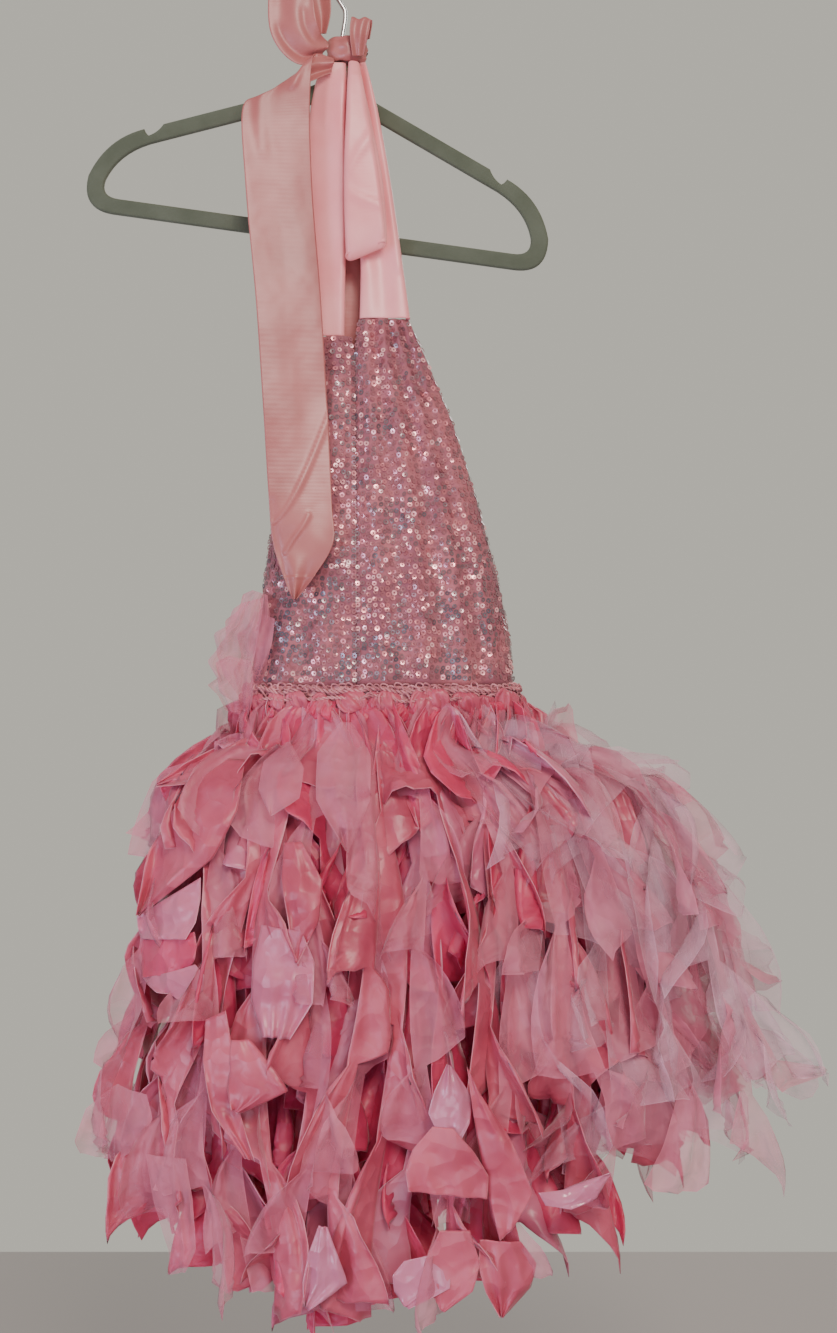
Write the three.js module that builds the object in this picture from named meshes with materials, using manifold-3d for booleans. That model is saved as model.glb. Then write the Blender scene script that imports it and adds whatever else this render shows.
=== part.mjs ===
// A child's halter tutu costume that hangs on a flocked coat hanger.
//
// Millimetres, +Z up, +X to the right of someone who faces the costume's front, -Y towards them.
// The origin is the point of the hook's inside that rests on the rail.
import * as THREE from 'three';
import { mergeVertices } from 'three/addons/utils/BufferGeometryUtils.js';
import Module from 'manifold-3d';

const wasm = await Module();
wasm.setup();

const TAU = 2 * Math.PI;
const radians = THREE.MathUtils.degToRad;
const { lerp, smoothstep } = THREE.MathUtils;

// ---------------------------------------------------------------- driving sizes
const HANGER = {
  tilt: radians(7.9), halfWidth: 177.5, thickness: 6, bevel: 1,
  neckHalf: 9, neckTop: -83, neckFoot: -92, armStartX: 16, armStartZ: -101,
  armSlope: Math.tan(radians(22.3)), bar: 12, bottom: -219.6, widestZ: -193, lowerBarHalf: 154,
  notchX: 126, notchWidth: 14, notchDepth: 6.5, notchRise: 2, notchStartSlant: 3, notchEndSlant: 4,
  shoulderCorner: [168, -163], heelOut: 3, endSteps: 5,
};
// The hanger's opening: where it meets the arm's underside, then the points of its rounded end.
const HANGER_OPENING = {
  peakHalf: 6, peakFrom: 15, arm: [24, 139], end: [[157, -175], [164, -192], [164, -202]], cornerX: 158,
};
const HOOK = {
  wireRadius: 1.75, insideRadius: 17, stemTop: -44, stemFoot: -82.6,
  bendX: -4.5, bendRise: 8, arcStart: radians(205), tipAngle: radians(-5), arcSteps: 9,
};

const CLOTH = 1.6;                 // bodice wall
const RIBBON = 1.2;                // satin ribbon wall
const STRIP = 1.3;                 // wall of a skirt strip
const SIDE_SEAM = { front: 0.012, back: 0.014 };   // angles left open beside each side seam

const WAIST = { x: 22, halfWidth: 102, halfDepth: 40, top: -556.4, bottom: -590, wall: 2.4 };
// The knots stand out of the band by these shares of their height at these shares of the way down.
const KNOTS = { count: 26, height: 2.8, columnsEach: 3, levels: [0, 0.22, 0.6, 1], raised: [0, 0.15, 1, 0.5] };
const BOW_KNOT = {
  x: -5, halfWidth: 12, halfDepth: 8.5, z: -71.5, half: 9.5, thick: 3.2, around: 20, corners: 8,
};

// Plan of the bodice at each height: a flat oval from `left` to `right` whose front lies `front`
// before its middle line and whose back lies `back` behind it.
const BODICE = [
  { z: -278.5, left: -40, right: 42, front: 7, back: 0, middle: -9 },
  { z: -310, left: -44, right: 56, front: 12, back: 6, middle: -8 },
  { z: -355, left: -50.5, right: 75, front: 19, back: 12, middle: -7 },
  { z: -415, left: -58.5, right: 94, front: 27, back: 20, middle: -5 },
  { z: -475, left: -67, right: 110, front: 33, back: 29, middle: -3 },
  { z: -520, left: -73, right: 119, front: 36, back: 34, middle: -1 },
  { z: -556, left: -78, right: 122, front: 38, back: 37, middle: 0 },
];
// The slit, from the open neck down to where the halves meet.
const SLIT = [
  { z: -278.5, rightHalf: 5, leftHalf: -3.5 },
  { z: -292, rightHalf: 3.2, leftHalf: -1.2 },
  { z: -311, rightHalf: 1.9, leftHalf: 1.3 },
  { z: -415, rightHalf: 3, leftHalf: 2.4 },
  { z: -556, rightHalf: 4, leftHalf: 3.4 },
];
const HALVES = {
  right: { top: -278.5, columns: 17, rows: 12, folds: 5, foldDepth: 2.2, tuck: 5 },
  left: { top: -292, columns: 12, rows: 11, folds: 3, foldDepth: 1.8, tuck: 4 },
};
const BACK_BAND = { top: -497, bottom: -556, gathers: 13, gatherDepth: 1.3 };

// Plan of the whole skirt at each height, as the outermost row of strips has it.
const SKIRT = [
  { z: -598, left: -85.5, right: 129.5, front: -45.5, back: 45.5 },
  { z: -612, left: -116, right: 188, front: -60, back: 54 },
  { z: -631, left: -146, right: 238, front: -72, back: 60 },
  { z: -660, left: -148, right: 258, front: -84, back: 66 },
  { z: -690, left: -152, right: 272, front: -94, back: 70 },
  { z: -720, left: -160, right: 288, front: -101, back: 74 },
  { z: -755, left: -163, right: 298, front: -106, back: 77 },
  { z: -800, left: -164, right: 310, front: -111, back: 80 },
  { z: -850, left: -184, right: 336, front: -116, back: 83 },
  { z: -893, left: -192, right: 326, front: -120, back: 85 },
  { z: -935, left: -180, right: 302, front: -122, back: 86 },
  { z: -1005, left: -172, right: 284, front: -124, back: 88 },
];
const BACKING = { top: -590.6, bottom: -597, wall: 2 };
// spread: how far the row follows the skirt's plan, 0 at the waist and 1 at the outside.
const ROWS = {
  inner: { strips: 24, steps: 8, spread: 0.26, out: -4.5, width: 25, tilt: 26, phase: 0.1 },
  middle: { strips: 28, steps: 10, spread: 0.62, out: 0.5, width: 32, tilt: 26, phase: 0.45 },
  outer: { strips: 32, steps: 11, spread: 1, out: 5.5, width: 40, tilt: 30, phase: 0.9 },
};
const HEM = { middle: -1000, sideLift: 64, jitter: 16 };
const LOBES = 3.5;                 // pointed lobes along each edge of a strip
const ROOT_WIDTH = 8;
const TIP_WIDTH = 4;

// Each row of the puff beside the bodice: its height, the degrees it runs between, how far it stands
// out of the waist and how much more in its middle.
const PUFF = [
  { z: -575, from: 214, to: 204, out: 5, bulge: 0 },
  { z: -552, from: 228, to: 186, out: 12, bulge: 5 },
  { z: -526, from: 232, to: 180, out: 17, bulge: 8 },
  { z: -500, from: 228, to: 182, out: 15, bulge: 7 },
  { z: -480, from: 218, to: 192, out: 9, bulge: 3 },
  { z: -470, from: 210, to: 200, out: 6, bulge: 0 },
];

// ---------------------------------------------------------------- helpers
const v = (x, y, z) => new THREE.Vector3(x, y, z);

// Every column of a table at height z, in a straight line between its two nearest rows.
function rowAt(table, z) {
  let i = table.findIndex((row) => row.z <= z);
  if (i === 0) return { ...table[0], z };
  if (i < 0) return { ...table[table.length - 1], z };
  const [a, b] = [table[i - 1], table[i]];
  const share = (a.z - z) / (a.z - b.z);
  const row = {};
  for (const key of Object.keys(a)) row[key] = lerp(a[key], b[key], share);
  return row;
}

function grid(rows, columns, pointAt) {
  return Array.from({ length: rows }, (_, i) =>
    Array.from({ length: columns }, (_, j) => pointAt(i / (rows - 1), j / (columns - 1), i, j)));
}

// Unit normals of a grid of points; `wrap` joins its last column to its first.
function normalsOf(points, wrap) {
  const rows = points.length;
  const columns = points[0].length;
  const column = (row, j) => row[wrap ? (j + columns) % columns : THREE.MathUtils.clamp(j, 0, columns - 1)];
  return points.map((row, i) => row.map((_, j) => {
    const along = points[Math.min(i + 1, rows - 1)][j].clone().sub(points[Math.max(i - 1, 0)][j]);
    const across = column(row, j + 1).clone().sub(column(row, j - 1));
    return along.cross(across).normalize();
  }));
}

const moved = (points, normals, distance) =>
  points.map((row, i) => row.map((p, j) => p.clone().addScaledVector(normals[i][j], distance)));

// One closed body from points and triangles, turned so that its faces point out.
function bodyOf(points, index) {
  const geometry = new THREE.BufferGeometry();
  geometry.setAttribute('position', new THREE.Float32BufferAttribute(points.flatMap((p) => p.toArray()), 3));
  let volume = 0;
  for (let k = 0; k < index.length; k += 3) {
    const [a, b, c] = [points[index[k]], points[index[k + 1]], points[index[k + 2]]];
    volume += a.dot(b.clone().cross(c));
  }
  if (volume < 0) index.reverse();
  geometry.setIndex(index);
  geometry.computeVertexNormals();
  return geometry;
}

// The wall between two grids of points, closed along its edges.
function wallBetween(face, lining, wrap = false) {
  const rows = face.length;
  const columns = face[0].length;
  const index = [];
  const at = (side, i, j) => side * rows * columns + i * columns + (j % columns);
  const quad = (a, b, c, d) => index.push(a, b, c, a, c, d);
  const lastColumn = wrap ? columns : columns - 1;
  for (let j = 0; j < lastColumn; j++) {
    for (let i = 0; i < rows - 1; i++) {
      quad(at(0, i, j), at(0, i + 1, j), at(0, i + 1, j + 1), at(0, i, j + 1));
      quad(at(1, i, j), at(1, i, j + 1), at(1, i + 1, j + 1), at(1, i + 1, j));
    }
    quad(at(0, 0, j), at(0, 0, j + 1), at(1, 0, j + 1), at(1, 0, j));
    quad(at(0, rows - 1, j), at(1, rows - 1, j), at(1, rows - 1, j + 1), at(0, rows - 1, j + 1));
  }
  for (let i = 0; !wrap && i < rows - 1; i++) {
    quad(at(0, i, 0), at(1, i, 0), at(1, i + 1, 0), at(0, i + 1, 0));
    quad(at(0, i, columns - 1), at(0, i + 1, columns - 1), at(1, i + 1, columns - 1), at(1, i, columns - 1));
  }
  return bodyOf([...face.flat(), ...lining.flat()], index);
}

// A wall of even thickness, half of it on each side of the points.
function wallOn(points, thickness, wrap = false) {
  const normals = normalsOf(points, wrap);
  return wallBetween(moved(points, normals, thickness / 2), moved(points, normals, -thickness / 2), wrap);
}

// A tube through sections that have the same number of corners; `ring` joins its two ends.
// Its far half is split along the other diagonals, so that the two faces of a thin strip bend alike.
function tubeThrough(sections, ring = false) {
  const corners = sections[0].length;
  const index = [];
  const at = (k, c) => (k % sections.length) * corners + (c % corners);
  for (let k = 0; k < (ring ? sections.length : sections.length - 1); k++) {
    for (let c = 0; c < corners; c++) {
      const [a, b, d, e] = [at(k, c), at(k, c + 1), at(k + 1, c + 1), at(k + 1, c)];
      if (c < corners / 2) index.push(a, b, d, a, d, e);
      else index.push(a, b, e, b, d, e);
    }
  }
  const last = sections.length - 1;
  for (let c = 1; !ring && c < corners - 1; c++) {
    index.push(at(0, 0), at(0, c + 1), at(0, c), at(last, 0), at(last, c), at(last, c + 1));
  }
  return bodyOf(sections.flat(), index);
}

function solidOf(geometry) {
  const bare = geometry.clone();
  for (const name of Object.keys(bare.attributes)) if (name !== 'position') bare.deleteAttribute(name);
  const merged = mergeVertices(bare, 1e-4);
  return new wasm.Manifold(new wasm.Mesh({
    numProp: 3,
    vertProperties: new Float32Array(merged.attributes.position.array),
    triVerts: new Uint32Array(merged.index.array),
  }));
}

function geometryOf(solid) {
  const mesh = solid.getMesh();
  const geometry = new THREE.BufferGeometry();
  geometry.setAttribute('position', new THREE.BufferAttribute(mesh.vertProperties, 3));
  geometry.setIndex(new THREE.BufferAttribute(mesh.triVerts, 1));
  geometry.computeVertexNormals();
  return geometry;
}

const finishes = {
  flock: { color: 0x747a6c, roughness: 0.95, metalness: 0 },
  chrome: { color: 0xc8ccd0, roughness: 0.15, metalness: 1 },
  ribbon: { color: 0xe0aaa8, roughness: 0.35, metalness: 0 },
  sequins: { color: 0xc98a8c, roughness: 0.25, metalness: 0.5 },
  elastic: { color: 0xcf8088, roughness: 0.7, metalness: 0 },
  satin: { color: 0xd07c86, roughness: 0.35, metalness: 0 },
  deepSatin: { color: 0xb84a5c, roughness: 0.4, metalness: 0 },
  organza: { color: 0xcf9aa8, roughness: 0.5, metalness: 0 },
};

function piece(name, geometry, finish) {
  const mesh = new THREE.Mesh(geometry, new THREE.MeshStandardMaterial(finishes[finish]));
  mesh.name = name;
  return mesh;
}

// ---------------------------------------------------------------- hanger
const armTop = (x) => HANGER.armStartZ - (x - HANGER.armStartX) * HANGER.armSlope;

// One half of the outline from the neck to the middle of the lower bar, in the hanger's own plane.
function hangerHalf(path, side) {
  const h = HANGER;
  const notchEnd = h.notchX + h.notchWidth;
  const points = [
    [h.neckHalf, h.neckTop], [h.neckHalf, h.neckFoot], [h.armStartX, h.armStartZ],
    [h.notchX, armTop(h.notchX)], [h.notchX + h.notchStartSlant, armTop(h.notchX) - h.notchDepth],
    [notchEnd - h.notchEndSlant, armTop(notchEnd) - h.notchDepth + h.notchRise], [notchEnd, armTop(notchEnd)],
  ];
  const shoulder = new THREE.QuadraticBezierCurve(
    new THREE.Vector2(notchEnd, armTop(notchEnd)), new THREE.Vector2(...h.shoulderCorner),
    new THREE.Vector2(h.halfWidth, h.widestZ));
  const heel = new THREE.QuadraticBezierCurve(
    new THREE.Vector2(h.halfWidth, h.widestZ), new THREE.Vector2(h.halfWidth + h.heelOut, h.bottom),
    new THREE.Vector2(h.lowerBarHalf, h.bottom));
  for (const curve of [shoulder, heel]) {
    for (const p of curve.getPoints(h.endSteps).slice(1)) points.push([p.x, p.y]);
  }
  if (side > 0) points.reverse();
  for (const [x, z] of points) path.push(new THREE.Vector2(side * x, z));
}

function hangerBody() {
  const h = HANGER;
  const outline = [];
  hangerHalf(outline, -1);
  hangerHalf(outline, 1);
  const shape = new THREE.Shape(outline);
  const armInside = (x) => armTop(x) - h.bar / Math.cos(Math.atan(h.armSlope));
  const { peakHalf, peakFrom, arm, end, cornerX } = HANGER_OPENING;
  const opening = [];
  for (const side of [1, -1]) {
    const half = [[peakHalf, armInside(peakFrom)], ...arm.map((x) => [x, armInside(x)]), ...end,
      [cornerX, h.bottom + h.bar]];
    if (side < 0) half.reverse();
    for (const [x, z] of half) opening.push(new THREE.Vector2(side * x, z));
  }
  shape.holes.push(new THREE.Path(opening));
  const geometry = new THREE.ExtrudeGeometry(shape, {
    depth: h.thickness - 2 * h.bevel, bevelEnabled: true, bevelSegments: 1,
    bevelThickness: h.bevel, bevelSize: h.bevel, bevelOffset: -h.bevel,
  });
  geometry.rotateX(Math.PI / 2);
  geometry.translate(0, h.thickness / 2 - h.bevel, 0);
  return geometry;
}

function hangerHook() {
  const radius = HOOK.insideRadius + HOOK.wireRadius;
  // The arc's middle is straight below the origin once the hanger is tilted.
  const middle = v(HOOK.insideRadius * Math.sin(HANGER.tilt), 0, -HOOK.insideRadius * Math.cos(HANGER.tilt));
  const path = [v(0, 0, HOOK.stemFoot), v(0, 0, (HOOK.stemFoot + HOOK.stemTop) / 2), v(0, 0, HOOK.stemTop),
    v(HOOK.bendX, 0, HOOK.stemTop + HOOK.bendRise)];
  for (let k = 0; k <= HOOK.arcSteps; k++) {
    const angle = lerp(HOOK.arcStart, HOOK.tipAngle, k / HOOK.arcSteps);
    path.push(v(middle.x + radius * Math.cos(angle), 0, middle.z + radius * Math.sin(angle)));
  }
  const section = new THREE.Shape();
  section.absarc(0, 0, HOOK.wireRadius, 0, TAU);
  return new THREE.ExtrudeGeometry(section, {
    steps: 32, curveSegments: 4, bevelEnabled: false, extrudePath: new THREE.CatmullRomCurve3(path),
  });
}

// ---------------------------------------------------------------- bodice
// A point of the bodice's oval: angle 0 is its right end, a quarter turn its front.
function bodicePoint(z, angle) {
  const plan = rowAt(BODICE, z);
  const depth = Math.sin(angle) > 0 ? plan.front : plan.back;
  const half = (plan.right - plan.left) / 2;
  return v(plan.left + half + half * Math.cos(angle), plan.middle - depth * Math.sin(angle), z);
}

const angleAtX = (z, x) => {
  const plan = rowAt(BODICE, z);
  const half = (plan.right - plan.left) / 2;
  return Math.acos(THREE.MathUtils.clamp((x - plan.left - half) / half, -1, 1));
};

// Half of the bodice front, from the slit to the side, with soft folds that gather upwards.
function bodiceHalf(side) {
  const half = HALVES[side];
  const sideAngle = side === 'right' ? SIDE_SEAM.front : Math.PI - SIDE_SEAM.front;
  const points = grid(half.rows, half.columns, (down, across) => {
    const z = lerp(half.top, BODICE[BODICE.length - 1].z, down);
    const angle = lerp(angleAtX(z, rowAt(SLIT, z)[`${side}Half`]), sideAngle, across);
    const point = bodicePoint(z, angle);
    const fade = Math.sin(Math.PI * Math.min(across * 1.25, 1) ** 0.8);
    point.y += half.foldDepth * Math.cos(TAU * half.folds * across) * fade;
    point.y += half.tuck * Math.exp(-across * 14);
    return point;
  });
  return wallOn(points, CLOTH);
}

function backBand() {
  const columns = BACK_BAND.gathers * 4 + 1;
  const points = grid(3, columns, (down, across) => {
    const z = lerp(BACK_BAND.top, BACK_BAND.bottom, down);
    const point = bodicePoint(z, lerp(Math.PI + SIDE_SEAM.back, TAU - SIDE_SEAM.back, across));
    const edge = Math.sin(Math.PI * across) ** 0.3;
    point.y += BACK_BAND.gatherDepth * Math.cos(TAU * BACK_BAND.gathers * across) * edge;
    return point;
  });
  return wallOn(points, CLOTH);
}

// ---------------------------------------------------------------- waistband
function waistPoint(angle, out, z) {
  const [a, b] = [WAIST.halfWidth, WAIST.halfDepth];
  const normal = v(Math.cos(angle) / a, -Math.sin(angle) / b, 0).normalize();
  return v(WAIST.x + a * Math.cos(angle), -b * Math.sin(angle), z).addScaledVector(normal, out);
}

// Angles that divide an oval into equal lengths.
function evenAngles(count, halfWidth, halfDepth, phase = 0) {
  const fine = 720;
  const reach = [0];
  for (let k = 1; k <= fine; k++) {
    const angle = (TAU * (k - 0.5)) / fine;
    reach.push(reach[k - 1] + Math.hypot(halfWidth * Math.sin(angle), halfDepth * Math.cos(angle)));
  }
  return Array.from({ length: count }, (_, n) => {
    const target = (((n + phase) % count) / count) * reach[fine];
    const k = Math.max(reach.findIndex((r) => r >= target), 1);
    return (TAU * (k - 1 + (target - reach[k - 1]) / (reach[k] - reach[k - 1]))) / fine;
  });
}

// The elastic band, its outside raised where the strips are knotted on.
function waistband() {
  const columns = KNOTS.count * KNOTS.columnsEach;
  const angles = evenAngles(columns, WAIST.halfWidth, WAIST.halfDepth);
  const layer = (out, knots) => KNOTS.levels.map((level, i) => angles.map((angle, j) => {
    const swell = 0.5 - 0.5 * Math.cos((TAU * j) / KNOTS.columnsEach);
    return waistPoint(angle, out + knots * KNOTS.raised[i] * swell, lerp(WAIST.top, WAIST.bottom, level));
  }));
  return wallBetween(layer(0, KNOTS.height), layer(-WAIST.wall, 0), true);
}

// ---------------------------------------------------------------- ribbons
// A ribbon's wall through named stations; each has its middle, its width and the direction of its width.
function ribbon(stations, { columns = 5, steps = 3, crease = () => 0 } = {}) {
  const curve = (pick) => new THREE.CatmullRomCurve3(stations.map(pick), false, 'centripetal');
  const count = (stations.length - 1) * steps + 1;
  const middles = new THREE.CatmullRomCurve3(stations.map((s) => v(...s.at)), false, 'catmullrom', 0.5);
  const widths = curve((s) => v(s.width, 0, 0));
  const points = grid(count, columns, (along, across) => {
    const scaled = along * (stations.length - 1);
    const k = Math.min(Math.floor(scaled), stations.length - 2);
    const [aim, next] = [stations[k], stations[k + 1]].map((station) => v(...(station.aim ?? [1, 0, 0])));
    aim.lerp(next, scaled - k);
    const width = widths.getPoint(along).x;
    const middle = middles.getPoint(along);
    const point = middle.addScaledVector(aim.normalize(), (across - 0.5) * width);
    point.y += crease(along, across);
    return point;
  });
  return wallOn(points, RIBBON);
}

const FACING_LEFT = [0.95, -0.3, 0];
const FACING_RIGHT = [0.97, 0.24, 0];

const strapLeft = () => ribbon([
  { at: [-14, -8.5, -82.6], width: 17 },
  { at: [-18, -9.5, -100], width: 25, aim: FACING_LEFT },
  { at: [-20.5, -10, -130], width: 29, aim: FACING_LEFT },
  { at: [-22, -10, -195], width: 33, aim: FACING_LEFT },
  { at: [-24, -12, -245], width: 36, aim: [0.98, -0.15, 0] },
  { at: [-25, -15, -291.4], width: 37 },
], { columns: 5, crease: (along, across) => 0.8 * Math.cos(TAU * across) * (1 - 0.4 * along) });

const strapRight = () => ribbon([
  { at: [5, -8.5, -82.4], width: 9 },
  { at: [10, -9, -120], width: 18 },
  { at: [16, -9.5, -175], width: 26 },
  { at: [21.5, -11, -230], width: 31 },
  { at: [24.5, -15.5, -278], width: 38 },
], { columns: 9, crease: (along, across) => 1.9 * Math.cos(TAU * 2 * across) * (1 - 0.5 * along) });

const tailFront = () => ribbon([
  { at: [-15, -13.6, -86], width: 12, aim: [0.2, 0, 0.98] },
  { at: [-31, -18, -90], width: 26, aim: [0.45, 0, 0.9] },
  { at: [-47, -23.5, -99], width: 42, aim: [0.8, 0, 0.62] },
  { at: [-57, -26, -119], width: 51, aim: [0.97, 0.1, 0.12] },
  { at: [-55, -27, -180], width: 51, aim: FACING_RIGHT },
  { at: [-48, -30, -262], width: 50, aim: FACING_RIGHT },
  { at: [-42, -35, -350], width: 49, aim: FACING_RIGHT },
  { at: [-38, -40, -420], width: 47, aim: [0.99, 0.12, 0] },
  { at: [-36, -42, -450], width: 45 },
  { at: [-39, -43, -474], width: 24 },
  { at: [-42, -44, -492], width: 3 },
], { columns: 6, steps: 2, crease: (along, across) => 1.5 * Math.sin(TAU * (across * 0.9 + along * 1.6)) });

const tailBack = () => ribbon([
  { at: [-4, 9.5, -82.4], width: 12 },
  { at: [-2, 9, -125], width: 34 },
  { at: [1, 10, -200], width: 46 },
  { at: [3, 10, -290], width: 48 },
  { at: [4, 11, -372], width: 48 },
  { at: [0, 11, -398], width: 26 },
  { at: [-4, 11, -416], width: 4 },
], { columns: 5, crease: (along, across) => 1.4 * Math.sin(TAU * (across + along)) });

// Loops of the bow: each leaves the knot, turns and comes back behind itself.
const bowLoopDown = () => ribbon([
  { at: [1, -13.6, -84], width: 8 },
  { at: [2, -20, -97], width: 11 },
  { at: [4, -25, -126], width: 17 },
  { at: [7, -27.5, -170], width: 26 },
  { at: [10, -27, -218], width: 31 },
  { at: [11, -22.5, -231.5], width: 31 },
  { at: [11, -18, -218], width: 31 },
  { at: [9, -16, -170], width: 26 },
  { at: [5, -14.8, -126], width: 17 },
  { at: [2.5, -13.6, -98], width: 9 },
], { columns: 5 });

const bowLoopUp = () => ribbon([
  { at: [-20, -12.8, -74], width: 14, aim: [0.3, 0, 0.95] },
  { at: [-33, -21, -75], width: 30, aim: [0.6, 0, 0.8] },
  { at: [-44, -25, -60], width: 36, aim: [0.93, 0, 0.37] },
  { at: [-46, -24, -34], width: 34, aim: [1, 0, 0.05] },
  { at: [-42, -17, -12], width: 34, aim: [1, 0, 0] },
  { at: [-35, -9, -16], width: 32, aim: [1, 0, 0] },
  { at: [-30, -6.5, -40], width: 27, aim: [1, 0, -0.1] },
  { at: [-27, -6, -58], width: 14, aim: [0.9, 0, -0.3] },
], { columns: 5 });

const bowLoopSmall = () => ribbon([
  { at: [4, -14, -79], width: 8 },
  { at: [5, -17.5, -64], width: 14 },
  { at: [6.5, -16.5, -52], width: 15 },
  { at: [8, -13.8, -54], width: 14 },
  { at: [8.5, -12.9, -66], width: 9 },
], { columns: 5, crease: (along, across) => 1.1 * Math.cos(TAU * across) });

// The knot: a crumpled ring of ribbon round the hook's stem.
function bowKnot() {
  const ring = BOW_KNOT;
  const { around, corners } = ring;
  const sections = Array.from({ length: around }, (_, k) => {
    const angle = (TAU * k) / around;
    const out = v(Math.cos(angle), -Math.sin(angle), 0);
    const crumple = 1 + 0.16 * Math.sin(angle * 5 + 1) + 0.08 * Math.sin(angle * 9);
    return Array.from({ length: corners }, (_, c) => {
      const turn = (TAU * c) / corners;
      const pleat = c % 2 ? 0.78 : 1;
      const thick = ring.thick * Math.cos(turn) * (Math.cos(turn) > 0 ? pleat * crumple : 0.9);
      return v(ring.x + ring.halfWidth * Math.cos(angle), -ring.halfDepth * Math.sin(angle), ring.z)
        .addScaledVector(out, thick)
        .add(v(0, 0, ring.half * Math.sin(turn) * (0.85 + 0.15 * crumple)));
    });
  });
  return tubeThrough(sections, true);
}

// ---------------------------------------------------------------- skirt
function skirtPoint(row, z, angle) {
  const { spread, out } = ROWS[row];
  const plan = rowAt(SKIRT, z);
  const reach = Math.cos(angle) > 0 ? plan.right - WAIST.x : WAIST.x - plan.left;
  const depth = Math.sin(angle) > 0 ? -plan.front : plan.back;
  const a = lerp(WAIST.halfWidth + out, reach + out - 5.5, spread);
  const b = lerp(WAIST.halfDepth + out, depth + out - 5.5, spread);
  return v(WAIST.x + a * Math.cos(angle), -b * Math.sin(angle), z);
}

// One wavy strip: four-sided, tilted like a louvre so that it stands clear of the next one.
function skirtStrip(row, angle, n) {
  const { steps, width, tilt, phase } = ROWS[row];
  const side = Math.cos(angle) ** 2;
  const end = HEM.middle + HEM.sideLift * side + HEM.jitter * Math.sin(n * 2.4 + phase * 7);
  const root = BACKING.top - 1;
  const leave = BACKING.bottom - 1;
  const heights = [root, ...Array.from({ length: steps }, (_, k) => lerp(leave, end, k / (steps - 1)))];
  const middles = heights.map((z) => skirtPoint(row, z, angle));
  const sections = middles.map((middle, k) => {
    const t = Math.max(k - 1, 0) / (steps - 1);
    const before = middles[Math.max(k - 1, 0)];
    const after = middles[Math.min(k + 1, steps)];
    const ahead = after.clone().sub(before).normalize();
    const tangent = skirtPoint(row, middle.z, angle + 0.01)
      .sub(skirtPoint(row, middle.z, angle - 0.01)).normalize();
    const outward = v(-tangent.y, tangent.x, 0).multiplyScalar(-1);
    const lean = radians(tilt) * smoothstep(t, 0, 0.4) * (1 + 0.25 * Math.sin(TAU * 1.3 * t + phase * 5));
    const across = tangent.clone().multiplyScalar(Math.cos(lean)).addScaledVector(outward, Math.sin(lean));
    const facing = across.clone().cross(ahead).normalize();
    const full = lerp(ROOT_WIDTH, width, smoothstep(t, 0.02, 0.45));
    const wide = lerp(full, TIP_WIDTH, smoothstep(t, 0.78, 1));
    const lobe = 0.24 * wide * Math.sin(TAU * LOBES * t + phase * 9) * smoothstep(t, 0.05, 0.2);
    const corner = (w, f) => middle.clone().addScaledVector(across, w * wide / 2 + lobe)
      .addScaledVector(facing, (f * STRIP) / 2);
    return [corner(-1, -1), corner(1, -1), corner(1, 1), corner(-1, 1)];
  });
  return tubeThrough(sections);
}

// A row of strips, fused at the roots into one narrow band round the waist.
function skirtRow(row) {
  const { strips, out, phase } = ROWS[row];
  const around = 40;
  const angles = evenAngles(around, WAIST.halfWidth, WAIST.halfDepth);
  const layer = (inset) => [BACKING.top, BACKING.bottom].map((z) =>
    angles.map((angle) => waistPoint(angle, out + BACKING.wall / 2 - inset, z)));
  const band = wallBetween(layer(0), layer(BACKING.wall), true);
  const widest = rowAt(SKIRT, -850);
  const [halfWidth, halfDepth] = [(widest.right - widest.left) / 2, (widest.back - widest.front) / 2];
  const places = evenAngles(strips, halfWidth, halfDepth, phase);
  const solids = places.map((angle, n) => solidOf(skirtStrip(row, angle, n)));
  return geometryOf(wasm.Manifold.union([solidOf(band), ...solids]));
}

// A strip of organza that stands up in a puff beside the bodice, from the band's left front.
function sidePuff() {
  const points = grid(PUFF.length, 6, (down, across, i) => {
    const row = PUFF[i];
    const angle = radians(lerp(row.from, row.to, across));
    return waistPoint(-angle, row.out + row.bulge * Math.sin(Math.PI * across), row.z);
  });
  return wallOn(points, CLOTH);
}

// ---------------------------------------------------------------- the costume
const costume = new THREE.Group();

const hanger = new THREE.Group();
hanger.rotation.y = HANGER.tilt;
hanger.add(piece('hanger_body', hangerBody(), 'flock'));
hanger.add(piece('hanger_hook', hangerHook(), 'chrome'));
costume.add(hanger);

costume.add(piece('bow_knot', bowKnot(), 'ribbon'));
costume.add(piece('bow_loop_up', bowLoopUp(), 'ribbon'));
costume.add(piece('bow_loop_down', bowLoopDown(), 'ribbon'));
costume.add(piece('bow_loop_small', bowLoopSmall(), 'ribbon'));
costume.add(piece('tail_front', tailFront(), 'ribbon'));
costume.add(piece('tail_back', tailBack(), 'ribbon'));
costume.add(piece('strap_left', strapLeft(), 'ribbon'));
costume.add(piece('strap_right', strapRight(), 'ribbon'));
costume.add(piece('bodice_front_left', bodiceHalf('left'), 'sequins'));
costume.add(piece('bodice_front_right', bodiceHalf('right'), 'sequins'));
costume.add(piece('back_band', backBand(), 'sequins'));
costume.add(piece('waistband', waistband(), 'elastic'));
costume.add(piece('side_puff', sidePuff(), 'organza'));
costume.add(piece('skirt_inner', skirtRow('inner'), 'deepSatin'));
costume.add(piece('skirt_middle', skirtRow('middle'), 'satin'));
costume.add(piece('skirt_outer', skirtRow('outer'), 'organza'));

export default costume;
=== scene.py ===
# %% [markdown]
# # A child's halter tutu on its hanger
#
# The costume is made of four kinds of cloth: satin ribbon for the straps and the bow, tulle sewn
# all over with sequins for the bodice, crocheted elastic at the waist, and a skirt of loose strips.
# Each strip of satin or organza is slit from both edges in turn, so that it hangs as a chain of
# pointed leaves. The solid model gives every piece its place, and this lesson gives it its cloth.

# %% Load the solid model
import math
import random

import bpy
from mathutils import Matrix, Vector, noise


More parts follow.
